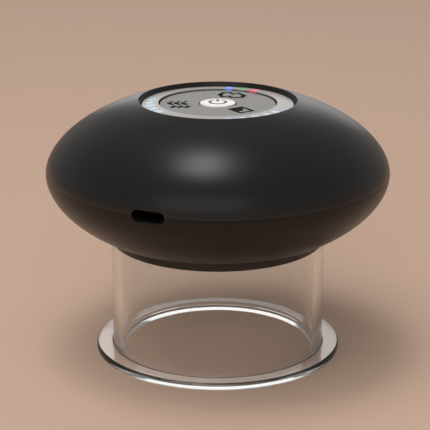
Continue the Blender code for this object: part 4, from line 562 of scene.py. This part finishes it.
boss_top = underside("main_board") - SEAT_GAP
for number in (1, 2, 3):
    screw_low, screw_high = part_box(f"housing_screw_{number}")
    middle = ((screw_low.x + screw_high.x) / 2, (screw_low.y + screw_high.y) / 2, 0)
    well_radius = (screw_high.x - screw_low.x) / 2 / MM + SEAT_GAP
    seat = screw_low.z / MM + SCREW_HEAD_HEIGHT + HEAD_PLAY
    boss = upright_rod(f"screw_boss_{number}", BOSS_RADIUS, foot_level + OVERLAP, boss_top, middle)
    cut_away(lower_shell, boss, lower_abs, "UNION")
    plug = upright_rod(f"screw_plug_{number}", well_radius, foot_level - OVERLAP, seat, middle)
    cut_away(lower_shell, plug, lower_abs)
    print("screw well", number, "up to", round(seat, 2), "mm")

# %% Shells in place
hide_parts("upper_housing")
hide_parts("lower_housing")
for shell in (upper_shell, lower_shell):
    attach(shell, "head")
print("slot cut through", upper_shell.name, "and", lower_shell.name)

# %% [markdown]
# ## Neck seal
# A band of black silicone sits in the neck's groove and wets the bore of the cup. Where rubber touches
# clear plastic there is no air gap, so the wall of the cup looks black right across. The band is
# therefore drawn a hair into the wall, and its index is the ratio of rubber's to acrylic's, 1.06. It
# hangs just below the neck, so that no bright line shows between the two.

# %% Silicone seal
silicone_seal, tree, shader, place = new_finish("silicone_rubber", "#0C0B0B", 0.55, IOR=1.06)
bloom = add_node(tree, "ShaderNodeTexNoise", {"Vector": place, "Scale": 1 / (2.0 * MM), "Detail": 3.0})
dull = add_node(tree, "ShaderNodeMapRange", {"Value": bloom.outputs["Fac"], "To Min": 0.48, "To Max": 0.64})
tree.links.new(dull.outputs["Result"], shader.inputs["Roughness"])
CUP_BORE = 27.9
SEAL_PRESS = 0.02
SEAL_HANG = 0.13
SEAL_ROOT = 25.7
SEAL_ROOT_FOOT = 0.85
SEAL_TOP_GAP = 0.4
SEAL_ROOT_GAP = 0.45
SEAL_HEEL = 27.35
CUP_STEPS = 192
seal_edge = CUP_BORE + SEAL_PRESS
seal = turned("neck_seal_band", filleted([
    (seal_edge, foot_level - SEAL_TOP_GAP, 0.1), (seal_edge, neck_end - SEAL_HANG, 0.1),
    (SEAL_HEEL, neck_end - SEAL_HANG, 0), (SEAL_ROOT, neck_end + SEAL_ROOT_FOOT, 0),
    (SEAL_ROOT, foot_level - SEAL_ROOT_GAP, 0)]), silicone_seal, steps=CUP_STEPS)
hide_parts("neck_seal")
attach(seal, "head")
print("seal radius", round(seal_edge, 2), "mm")

# %% [markdown]
# ## Clear suction cup
# The cup is moulded acrylic, polished, with a 2.75 mm wall and a wide foot flange. Clear plastic
# shows only by what it bends and reflects, so its section matters more than its colour. The flange's
# edge is almost half round and the foot of the bore is rounded too. Between them they gather the light of
# the pale panels behind into the thin white line round the foot. Acrylic bends light about as glass
# does (IOR 1.49). Wiping leaves a faint haze here and there. Cycles would draw the cup's shadow as dark
# as wood, so the cup lets the lamps' light through.

# %% Clear acrylic
clear_cup_finish, tree, shader, place = new_finish(
    "clear_acrylic", "#F4F5F5", 0.012, IOR=1.49, Transmission_Weight=1.0)
haze = add_node(tree, "ShaderNodeTexNoise", {"Vector": place, "Scale": 1 / (9 * MM), "Detail": 3.0})
clear = add_node(tree, "ShaderNodeMapRange", {
    "Value": haze.outputs["Fac"], "From Min": 0.35, "From Max": 0.75, "To Min": 0.004, "To Max": 0.03})
tree.links.new(clear.outputs["Result"], shader.inputs["Roughness"])
CUP_RADIUS = 30.65
CUP_TOP_ROUND = 0.4
FLANGE_TOP = 2.1
FLANGE_RADIUS = radius_of("suction_cup")
FLANGE_ROUND = 0.92
FLANGE_FILLET = 0.5
BORE_FILLET = 0.55
cup_section = filleted([
    (CUP_RADIUS, CUP_TOP, CUP_TOP_ROUND), (CUP_RADIUS, FLANGE_TOP, FLANGE_FILLET),
    (FLANGE_RADIUS, FLANGE_TOP, FLANGE_ROUND), (FLANGE_RADIUS, 0.0, FLANGE_ROUND),
    (CUP_BORE, 0.0, BORE_FILLET), (CUP_BORE, CUP_TOP, CUP_TOP_ROUND)], 12)
cup = turned("clear_cup", cup_section, clear_cup_finish, steps=CUP_STEPS, sharp=50)
cup.visible_shadow = False
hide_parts("suction_cup")
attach(cup, "cup")
print("cup wall", round(CUP_RADIUS - CUP_BORE, 2), "mm")

# %% [markdown]
# ## Light ring
# The ring round the keys is a diffuser: polycarbonate with a little white pigment, pale grey when it is
# off. It is gently coned up to a thin lip. Its lights glow through it, so the paint near each one picks
# up its colour, which fades within a millimetre or two.

# %% Places of the lights
LIGHT_RADIUS = 19.3
MODE_RADIUS = 18.6
CONE_RISE = 0.6
RING_LIP = 0.4
RING_OUTER = radius_of("light_ring")
RING_INNER = SHELF_HOLE
RING_TOP = top_of("light_ring")
RING_EDGE = RING_TOP - CONE_RISE
LEFT_TURNS = [190.2 + 11.0 * (index - 2) for index in range(5)]
RIGHT_TURNS = [302.5 + 11.6 * (index - 2) for index in range(5)]
MODE_TURNS = {"blue": 79.5, "green": 67.5, "red": 55.0}
MODE_COLOURS = {"blue": "#2F86FF", "green": "#35D83C", "red": "#FF3352"}
LEVEL_COLOUR = "#8AD0F6"


def on_ring(turn, radius=LIGHT_RADIUS):
    """Place on the ring's face, in metres, at an angle in degrees."""
    height = RING_EDGE + (RING_TOP - RING_EDGE) * (RING_OUTER - radius) / (RING_OUTER - RING_INNER)
    angle = math.radians(turn)
    return (radius * MM * math.cos(angle), radius * MM * math.sin(angle), height * MM)


def glow(tree, place, lights, core, reach):
    """Spread light from each (angle, radius, colour, strength): full to `core` mm, gone at `reach`."""
    total = None
    for turn, radius, colour, strength in lights:
        away = add_node(tree, "ShaderNodeVectorMath", {0: place, 1: on_ring(turn, radius)},
                        operation="DISTANCE")
        fade = add_node(tree, "ShaderNodeMapRange", {
            "Value": away.outputs["Value"], "From Min": core * MM, "From Max": reach * MM, "To Min": strength,
            "To Max": 0.0}, interpolation_type="SMOOTHERSTEP")
        scaled = {0: linear(colour)[:3], "Scale": fade.outputs["Result"]}
        tint = add_node(tree, "ShaderNodeVectorMath", scaled, operation="SCALE").outputs["Vector"]
        total = tint if total is None else add_node(
            tree, "ShaderNodeVectorMath", {0: total, 1: tint}, operation="ADD").outputs["Vector"]
    return total


print("first light at", [round(value * 1000, 1) for value in on_ring(LEFT_TURNS[0])], "mm")

# %% Diffuser finish and ring
RING_COLOUR = "#AEABA8"
diffuser, tree, shader, place = new_finish("diffuser_polycarbonate", RING_COLOUR, 0.30, IOR=1.585)
lights = [(turn, LIGHT_RADIUS, LEVEL_COLOUR, 0.10) for turn in LEFT_TURNS + RIGHT_TURNS]
lights += [(turn, MODE_RADIUS, MODE_COLOURS[key], 0.25) for key, turn in MODE_TURNS.items()]
tree.links.new(glow(tree, place, lights, 0.6, 2.2), shader.inputs["Emission Color"])
shader.inputs["Emission Strength"].default_value = 1.0
cloud = add_node(tree, "ShaderNodeTexNoise", {"Vector": place, "Scale": 1 / (3.0 * MM), "Detail": 3.0})
milk = add_node(tree, "ShaderNodeMix", {"Factor": cloud.outputs["Fac"], "A": linear("#AAA7A4"),
                "B": linear("#B3B0AD")}, data_type="RGBA")
tree.links.new(milk.outputs[2], shader.inputs["Base Color"])
RING_BORE = 17.75
ring_foot = underside("light_ring")
ring = turned("diffuser_ring", filleted([
    (RING_OUTER, RING_EDGE, 0.3), (RING_OUTER, ring_foot, 0), (RING_BORE, ring_foot, 0),
    (RING_BORE, RING_TOP - RING_LIP, 0), (RING_INNER, RING_TOP - RING_LIP, 0.05),
    (RING_INNER, RING_TOP, 0.2)]), diffuser)
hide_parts("light_ring")
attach(ring, "head")
print("ring with", len(lights), "lights")

# %% [markdown]
# ## Lights
# Each level light is the end of a clear light pipe under the ring's face: brightest in its middle, with
# no hard edge. The three mode lights at the back lie across the ring. The blue and the red one run over
# its inner edge, so their colour shows on the inner wall too. A light that is on is brighter than
# anything lit by the room, so these finishes give off light.


# %% Pads and lit finishes
def light_pad(name, turn, along, inner, outer, corner):
    """A pad in the ring's face, `along` mm wide along the ring, from an inner to an outer radius."""
    mesh = bpy.data.meshes.new(name)
    shape = bmesh.new()
    middle = (inner + outer) / 2
    loops = []
    for share, lift in ((1.0, None), (1.0, -0.01), (0.94, 0.02), (0.5, 0.03)):
        loop = []
        for across, outward in rounded_outline(along, outer - inner, corner):
            radius = middle + outward * share
            x, y, z = on_ring(turn + math.degrees(across * share / middle), max(radius, RING_INNER))
            x, y = x * radius / max(radius, RING_INNER), y * radius / max(radius, RING_INNER)
            loop.append(shape.verts.new((x, y, (ring_foot + 0.2) * MM if lift is None else z + lift * MM)))
        loops.append(loop)
    for low, high in zip(loops, loops[1:]):
        for index in range(len(low)):
            after = (index + 1) % len(low)
            shape.faces.new((low[index], low[after], high[after], high[index]))
    shape.faces.new(loops[0][::-1])
    shape.faces.new(loops[-1])
    shape.to_mesh(mesh)
    shape.free()
    return new_piece(name, mesh)


def join_pieces(name, pieces, finish):
    """Join several small pieces into one object."""
    shape = bmesh.new()
    for piece in pieces:
        shape.from_mesh(piece.data)
        bpy.data.objects.remove(piece)
    mesh = bpy.data.meshes.new(name)
    shape.to_mesh(mesh)
    shape.free()
    return settle(new_piece(name, mesh), finish)


def lit_finish(name, colour, lights, core, reach):
    """Clear pipe end lit from below, with the light spreading from its middle."""
    finish, tree, shader, place = new_finish(name, colour, 0.25, IOR=1.585)
    tree.links.new(glow(tree, place, lights, core, reach), shader.inputs["Emission Color"])
    shader.inputs["Emission Strength"].default_value = 1.0
    return finish


print("ring face at a level light:", round(on_ring(0)[2] / MM, 2), "mm")

# %% Level lights
PAD_ALONG = 2.9
PAD_INNER = 18.0
PAD_OUTER = 20.6
PAD_CORNER = 1.1
for side, turns in (("left", LEFT_TURNS), ("right", RIGHT_TURNS)):
    finish = lit_finish(f"{side}_blue_white_pipe", RING_COLOUR,
                        [(turn, LIGHT_RADIUS, LEVEL_COLOUR, 0.38) for turn in turns], 0.6, 2.2)
    pads = [light_pad(f"{side}_pad_{index}", turn, PAD_ALONG, PAD_INNER, PAD_OUTER, PAD_CORNER)
            for index, turn in enumerate(turns)]
    lights_piece = join_pieces(side + "_level_pads", pads, finish)
    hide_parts(side + "_level_lights")
    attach(lights_piece, "head")
print("level lights:", len(LEFT_TURNS) + len(RIGHT_TURNS))

# %% Mode lights
MODE_ALONG = 1.9
MODE_OUTER = 20.3
MODE_CORNER = 0.4
OVER_EDGE = RING_INNER - 0.06
for key, inner, unlit, strength, white in (("blue", OVER_EDGE, "#2A3E86", 0.85, 0.2),
                                           ("green", 18.3, "#256B2E", 0.35, 0.04),
                                           ("red", OVER_EDGE, "#8A2632", 0.75, 0.1)):
    turn = MODE_TURNS[key]
    pad = light_pad(key + "_mode_pad", turn, MODE_ALONG, inner, MODE_OUTER, MODE_CORNER)
    lit = [(turn, MODE_RADIUS, MODE_COLOURS[key], strength), (turn, MODE_RADIUS, "#FFFFFF", white)]
    settle(pad, lit_finish(f"lit_{key}_pipe", unlit, lit, 1.0, 3.0))
    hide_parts("mode_light_" + key)
    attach(pad, "head")
print("mode lights:", ", ".join(MODE_TURNS))

# %% [markdown]
# ## Key plate
# One grey plate carries the three touch signs. It is moulded, then sprayed with a metallic lacquer:
# tiny aluminium flakes in a grey binder, under no clear coat, so it looks satin and faintly grainy.
# Real flakes are some hundredths of a millimetre across. They are drawn at 0.25 mm, so that they show.

# %% Metallic lacquer
grey_lacquer, tree, shader, place = new_finish("grey_metallic_lacquer", "#888583", 0.42, Metallic=0.35)
flakes = add_node(tree, "ShaderNodeTexVoronoi", {"Vector": place, "Scale": 1 / (0.25 * MM)})
shade = add_node(tree, "ShaderNodeMapRange", {"Value": flakes.outputs["Color"], "To Min": 0.0, "To Max": 1.0})
tint = add_node(tree, "ShaderNodeMix", {"Factor": shade.outputs["Result"], "A": linear("#868482"),
                "B": linear("#9A9896")}, data_type="RGBA")
tree.links.new(tint.outputs[2], shader.inputs["Base Color"])
KEY_TOP = top_of("key_plate")
KEY_RADIUS = radius_of("key_plate")
KEY_THICKNESS = 1.4
BUTTON_HOLE = 5.33
plate = turned("lacquered_key_plate", filleted([
    (KEY_RADIUS, KEY_TOP, 0.2), (KEY_RADIUS, KEY_TOP - KEY_THICKNESS, 0.1),
    (BUTTON_HOLE, KEY_TOP - KEY_THICKNESS, 0), (BUTTON_HOLE, KEY_TOP, 0.12)]), grey_lacquer)
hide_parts("key_plate")
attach(plate, "key_plate")
print("plate radius", round(KEY_RADIUS, 2), "mm")

# %% [markdown]
# ## Printing
# The signs are pad printed in matt black ink, which soaks up light and mirrors next to nothing, so its
# specular level is low. Ink stands proud by some hundredths of a millimetre and its edge is round, so
# each stroke is a curve with a round section, pressed flat.

# %% Printing ink
printing_ink, tree, shader, place = new_finish("black_printing_ink", "#0D0C0C", 0.8, Specular_IOR_Level=0.15)
soak = add_node(tree, "ShaderNodeTexNoise", {"Vector": place, "Scale": 1 / (0.6 * MM)})
dull = add_node(tree, "ShaderNodeMapRange", {"Value": soak.outputs["Fac"], "To Min": 0.72, "To Max": 0.88})
tree.links.new(dull.outputs["Result"], shader.inputs["Roughness"])
print("ink colour", [round(part, 4) for part in shader.inputs["Base Color"].default_value[:3]])

# %% Printed strokes
INK_HEIGHT = 0.03


def round_line(name, points, width, closed=False, smooth=True):
    """Mesh of a round line through (x, y, z) points in millimetres."""
    curve = bpy.data.curves.new(name, "CURVE")
    curve.dimensions = "3D"
    curve.bevel_depth = width / 2 * MM
    curve.bevel_resolution = 3
    curve.resolution_u = 8
    curve.use_fill_caps = True
    line = curve.splines.new("BEZIER" if smooth else "POLY")
    knots = line.bezier_points if smooth else line.points
    knots.add(len(points) - 1)
    for knot, place in zip(knots, points):
        knot.co = [value * MM for value in place] + ([] if smooth else [1])
        if smooth:
            knot.handle_left_type = knot.handle_right_type = "AUTO"
    line.use_cyclic_u = closed
    path = new_piece(name + "_path", curve)
    mesh = bpy.data.meshes.new_from_object(path.evaluated_get(bpy.context.evaluated_depsgraph_get()))
    bpy.data.objects.remove(path)
    return mesh


def printed(name, strokes, level, finish, smooth=True):
    """Flat printed lines; each stroke is (points in mm, width in mm, closed)."""
    pieces = []
    for points, width, closed in strokes:
        mesh = round_line(name, [(x, y, 0) for x, y in points], width, closed, smooth)
        for point in mesh.vertices:
            point.co.z = point.co.z * 2 * INK_HEIGHT / width + level * MM
        pieces.append(new_piece(name + "_stroke", mesh))
    return join_pieces(name, pieces, finish)


print("ink stands", INK_HEIGHT, "mm proud")

# %% [markdown]
# ## Signs on the keys
# Each key has a plain sign: three rising waves for heat, a stepped loop for the mode and a card with
# bars for the level. Every wave is printed as three short strokes that grow towards the user. The card
# lies turned towards its key's place on the ring, so its points are given along and across the card.

# %% Heat, mode and level signs
WAVE_PITCH = 1.95
waves = []
for column in range(3):
    east = -13.0 + WAVE_PITCH * column
    waves += [([(east + 0.15, 2.7), (east - 0.2, 1.8)], 0.95, False),
              ([(east - 0.9, 1.2), (east - 0.35, -0.5), (east + 0.5, -1.5)], 1.35, False),
              ([(east + 1.0, -3.0), (east + 0.5, -4.1), (east - 0.25, -5.0)], 1.4, False)]
loop = [([(0.6, 10.6), (1.6, 13.0), (3.6, 13.2), (4.5, 11.2), (5.9, 12.6), (7.6, 9.6), (6.9, 7.3),
          (4.0, 7.1), (3.3, 8.7), (1.3, 8.1)], 1.45, True)]
card_corner, long_way, short_way = Vector((3.3, -6.7)), Vector((0.57, -0.82)), Vector((0.82, 0.57))


def on_card(along, across):
    """Point on the level sign's card."""
    return tuple(card_corner + long_way * along + short_way * across)


CARD_LENGTH = 5.2
CARD_WIDTH = 4.2
BAR_PITCH = 0.78
card = [([on_card(0, 0), on_card(CARD_LENGTH, 0), on_card(CARD_LENGTH, CARD_WIDTH), on_card(0, CARD_WIDTH)],
         1.5, True)]
for bar in range(4):
    along = 0.8 + BAR_PITCH * bar
    card.append(([on_card(along, 0.4), on_card(along, 3.9 - 0.5 * bar)], 0.75, False))
signs = (("heat_sign", waves, True), ("mode_sign", loop, False), ("level_sign", card, False))
for name, strokes, smooth in signs:
    sign = printed(name, strokes, KEY_TOP, printing_ink, smooth)
    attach(sign, "key_plate")
print("signs printed at", round(KEY_TOP, 2), "mm")

# %% [markdown]
# ## Power button
# The button is a separate moulded cap with a silver sparkle lacquer under a clear coat: coarse bright
# flakes that each tilt their own way. Its top is a shallow dome with a soft edge. The flakes are drawn
# at 0.3 mm, coarser than life, so that they show.

# %% Sparkle lacquer
sparkle, tree, shader, place = new_finish(
    "silver_sparkle_lacquer", "#F2EEE9", 0.28, Metallic=0.12, Coat_Weight=0.6, Coat_Roughness=0.12)
flakes = add_node(tree, "ShaderNodeTexVoronoi", {"Vector": place, "Scale": 1 / (0.3 * MM)})
tint = add_node(tree, "ShaderNodeValToRGB", {"Fac": flakes.outputs["Color"]})
tint.color_ramp.elements[0].color = linear("#E2DED9")
tint.color_ramp.elements[1].color = linear("#FDFBF7")
tree.links.new(tint.outputs["Color"], shader.inputs["Base Color"])
tilt = add_node(tree, "ShaderNodeBump", {"Height": flakes.outputs["Distance"], "Strength": 0.15,
                                         "Distance": 0.05 * MM})
tree.links.new(tilt.outputs["Normal"], shader.inputs["Normal"])
print("lacquer:", sparkle.name)

# %% Button
BUTTON_TOP = top_of("power_button")
BUTTON_RADIUS = 5.03
DOME_RADIUS = BUTTON_RADIUS * 0.94
DOME_DROP = 0.12
LIP_RADIUS = radius_of("power_button")
LIP_THICKNESS = 0.4
LIP_DEPTH = 1.95
STEM_RADIUS = 1.4
lip_top = KEY_TOP - LIP_DEPTH
lip_under = lip_top - LIP_THICKNESS
stem_end = underside("power_button") + 0.01
dome = []
for turn in range(0, 91, 10):
    slope = math.sin(math.radians(turn))
    dome.append((DOME_RADIUS * slope, BUTTON_TOP - DOME_DROP * slope ** 2))
button = turned("sparkle_button", dome + [
    (BUTTON_RADIUS - 0.1, BUTTON_TOP - 0.18), (BUTTON_RADIUS - 0.02, BUTTON_TOP - 0.31),
    (BUTTON_RADIUS, BUTTON_TOP - 0.5), (BUTTON_RADIUS, lip_top), (LIP_RADIUS, lip_top),
    (LIP_RADIUS, lip_under), (STEM_RADIUS, lip_under), (STEM_RADIUS, stem_end), (0, stem_end)],
    sparkle, steps=96, sharp=40)
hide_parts("power_button")
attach(button, "power_button")
print("button top", round(BUTTON_TOP, 2), "mm")

# %% [markdown]
# ## Power sign
# The button carries the plain ring-and-bar power sign that many devices share, in grey ink.

# %% Power sign
SIGN_RADIUS = 2.3
SIGN_STROKE = 0.8
SIGN_SINK = 0.02
grey_ink, tree, shader, place = new_finish("grey_printing_ink", "#5E5A57", 0.5)
soak = add_node(tree, "ShaderNodeTexNoise", {"Vector": place, "Scale": 1 / (0.6 * MM)})
dull = add_node(tree, "ShaderNodeMapRange", {"Value": soak.outputs["Fac"], "To Min": 0.42, "To Max": 0.58})
tree.links.new(dull.outputs["Result"], shader.inputs["Roughness"])
open_ring = [(SIGN_RADIUS * math.cos(math.radians(turn)), SIGN_RADIUS * math.sin(math.radians(turn)))
             for turn in range(130, 411, 20)]
bar = [(0, 0.4), (0, 3.0)]
power_sign = printed("power_sign", [(open_ring, SIGN_STROKE, False), (bar, SIGN_STROKE, False)],
                     BUTTON_TOP - SIGN_SINK, grey_ink, False)
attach(power_sign, "power_button")
print("power sign", round(2 * SIGN_RADIUS + SIGN_STROKE, 1), "mm across")

# %% [markdown]
# ## Pieces inside and under the head
# The pieces inside never show with the head closed, but the treatment plate, its filter and the red
# window do when the cup is seen from below. All of them keep their CAD form and get the finish of
# their material: rolled steel, turned aluminium, board laminate, enamelled wire and moulded nylon.
# The charging socket's steel alone is darkened to near black: painted shade for the deep slot.

# %% Grained finish
RELIEF_DEPTH = 0.02


def grained_finish(name, light, dark, roughness, grain_mm, stretch=(1, 1, 1), bump=0.1, **sockets):
    """A finish whose colour and relief follow one noise pattern of a real size."""
    finish, tree, shader, place = new_finish(name, light, roughness, **sockets)
    scaled = add_node(tree, "ShaderNodeMapping", {"Vector": place, "Scale": stretch})
    grain = add_node(tree, "ShaderNodeTexNoise", {
        "Vector": scaled.outputs["Vector"], "Scale": 1 / (grain_mm * MM), "Detail": 4.0})
    tint = add_node(tree, "ShaderNodeMix", {
        "Factor": grain.outputs["Fac"], "A": linear(dark), "B": linear(light)}, data_type="RGBA")
    tree.links.new(tint.outputs[2], shader.inputs["Base Color"])
    relief = add_node(tree, "ShaderNodeBump", {"Height": grain.outputs["Fac"], "Strength": bump,
                                               "Distance": RELIEF_DEPTH * MM})
    tree.links.new(relief.outputs["Normal"], shader.inputs["Normal"])
    return finish


print("relief of the inner pieces:", RELIEF_DEPTH, "mm at most")

# %% Inner materials
INNER = {
    "steel": grained_finish("rolled_steel", "#C8C8CA", "#A8A8AB", 0.32, 0.4, (1, 1, 8), Metallic=1.0),
    "aluminium": grained_finish("turned_aluminium", "#DADADC", "#BDBDC0", 0.30, 0.3, Metallic=1.0),
    "copper": grained_finish("enamelled_copper_wire", "#C9774A", "#8E4A26", 0.30, 0.3, (1, 1, 12),
                             Metallic=0.9),
    "circuit_board": grained_finish("fr4_board_laminate", "#1F6B45", "#15492F", 0.45, 0.8),
    "battery_film": grained_finish("battery_pouch_film", "#B5B8BD", "#9EA1A6", 0.28, 1.5, Metallic=0.7),
    "foam": grained_finish("polyurethane_foam", "#4A4A4A", "#2A2A2A", 0.95, 0.5, bump=0.6),
    "white_plastic": grained_finish("moulded_nylon", "#E3E0D8", "#D6D2C8", 0.45, 1.0),
    "silicone": grained_finish("silicone_tube", "#E6E6E2", "#D5D5D0", 0.40, 1.0, Transmission_Weight=0.3),
    "black_rubber": grained_finish("nitrile_rubber", "#1A1A1A", "#101010", 0.60, 0.5),
    "chip_resin": grained_finish("epoxy_chip_resin", "#202021", "#161617", 0.55, 0.3),
    "red_window": grained_finish("tinted_polycarbonate", "#A3201C", "#8C1613", 0.12, 5.0, bump=0.0,
                                 Transmission_Weight=0.5),
}
# The charging socket's steel is darkened to near black as painted shade, so the slot reads dark inside.
shade_darkened_socket = grained_finish("socket_steel_darkened_as_shade", "#1B1A1A", "#121111", 0.38, 0.4, (1, 1, 6),
                              Metallic=0.8)
slots = {part["node"]: part["material_slot"] for part in frame["record"]["subparts"]}
for name, node in frame["nodes"].items():
    if slots[name] in INNER:
        node.data.materials.clear()
        node.data.materials.append(INNER[slots[name]])
frame["nodes"]["charging_socket"].data.materials[0] = shade_darkened_socket
print("inner pieces dressed:", sum(slots[name] in INNER for name in frame["nodes"]))

# %% [markdown]
# ## Valve spring
# The release valve's plunger is pushed shut by a small coil spring of 0.3 mm wire. The real spring
# shortens when the plunger lifts; here it is drawn at one length.

# %% Valve spring
SPRING_WIRE = 0.3
SPRING_TURNS = 5
TURN_PARTS = 24
spring_low, spring_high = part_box("valve_spring")
plunger_low, plunger_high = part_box("valve_plunger")
spring_middle = (plunger_low + plunger_high) / 2 / MM
spring_radius = (spring_high.y - spring_low.y) / 2 / MM - SPRING_WIRE / 2
spring_foot = spring_low.z / MM + SPRING_WIRE / 2
spring_head = spring_high.z / MM - SPRING_WIRE / 2
coil_parts = TURN_PARTS * SPRING_TURNS
coil = []
for step in range(coil_parts + 1):
    turn = math.radians(360 / TURN_PARTS * step)
    coil.append((spring_middle.x + spring_radius * math.cos(turn),
                 spring_middle.y + spring_radius * math.sin(turn),
                 spring_foot + (spring_head - spring_foot) * step / coil_parts))
spring = new_piece("coil_spring", round_line("coil_spring", coil, SPRING_WIRE, smooth=False))
settle(spring, INNER["steel"])
print("spring of", SPRING_TURNS, "turns,", round(2 * spring_radius + SPRING_WIRE, 2), "mm across")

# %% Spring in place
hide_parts("valve_spring")
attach(spring, "head")
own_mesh(spring)
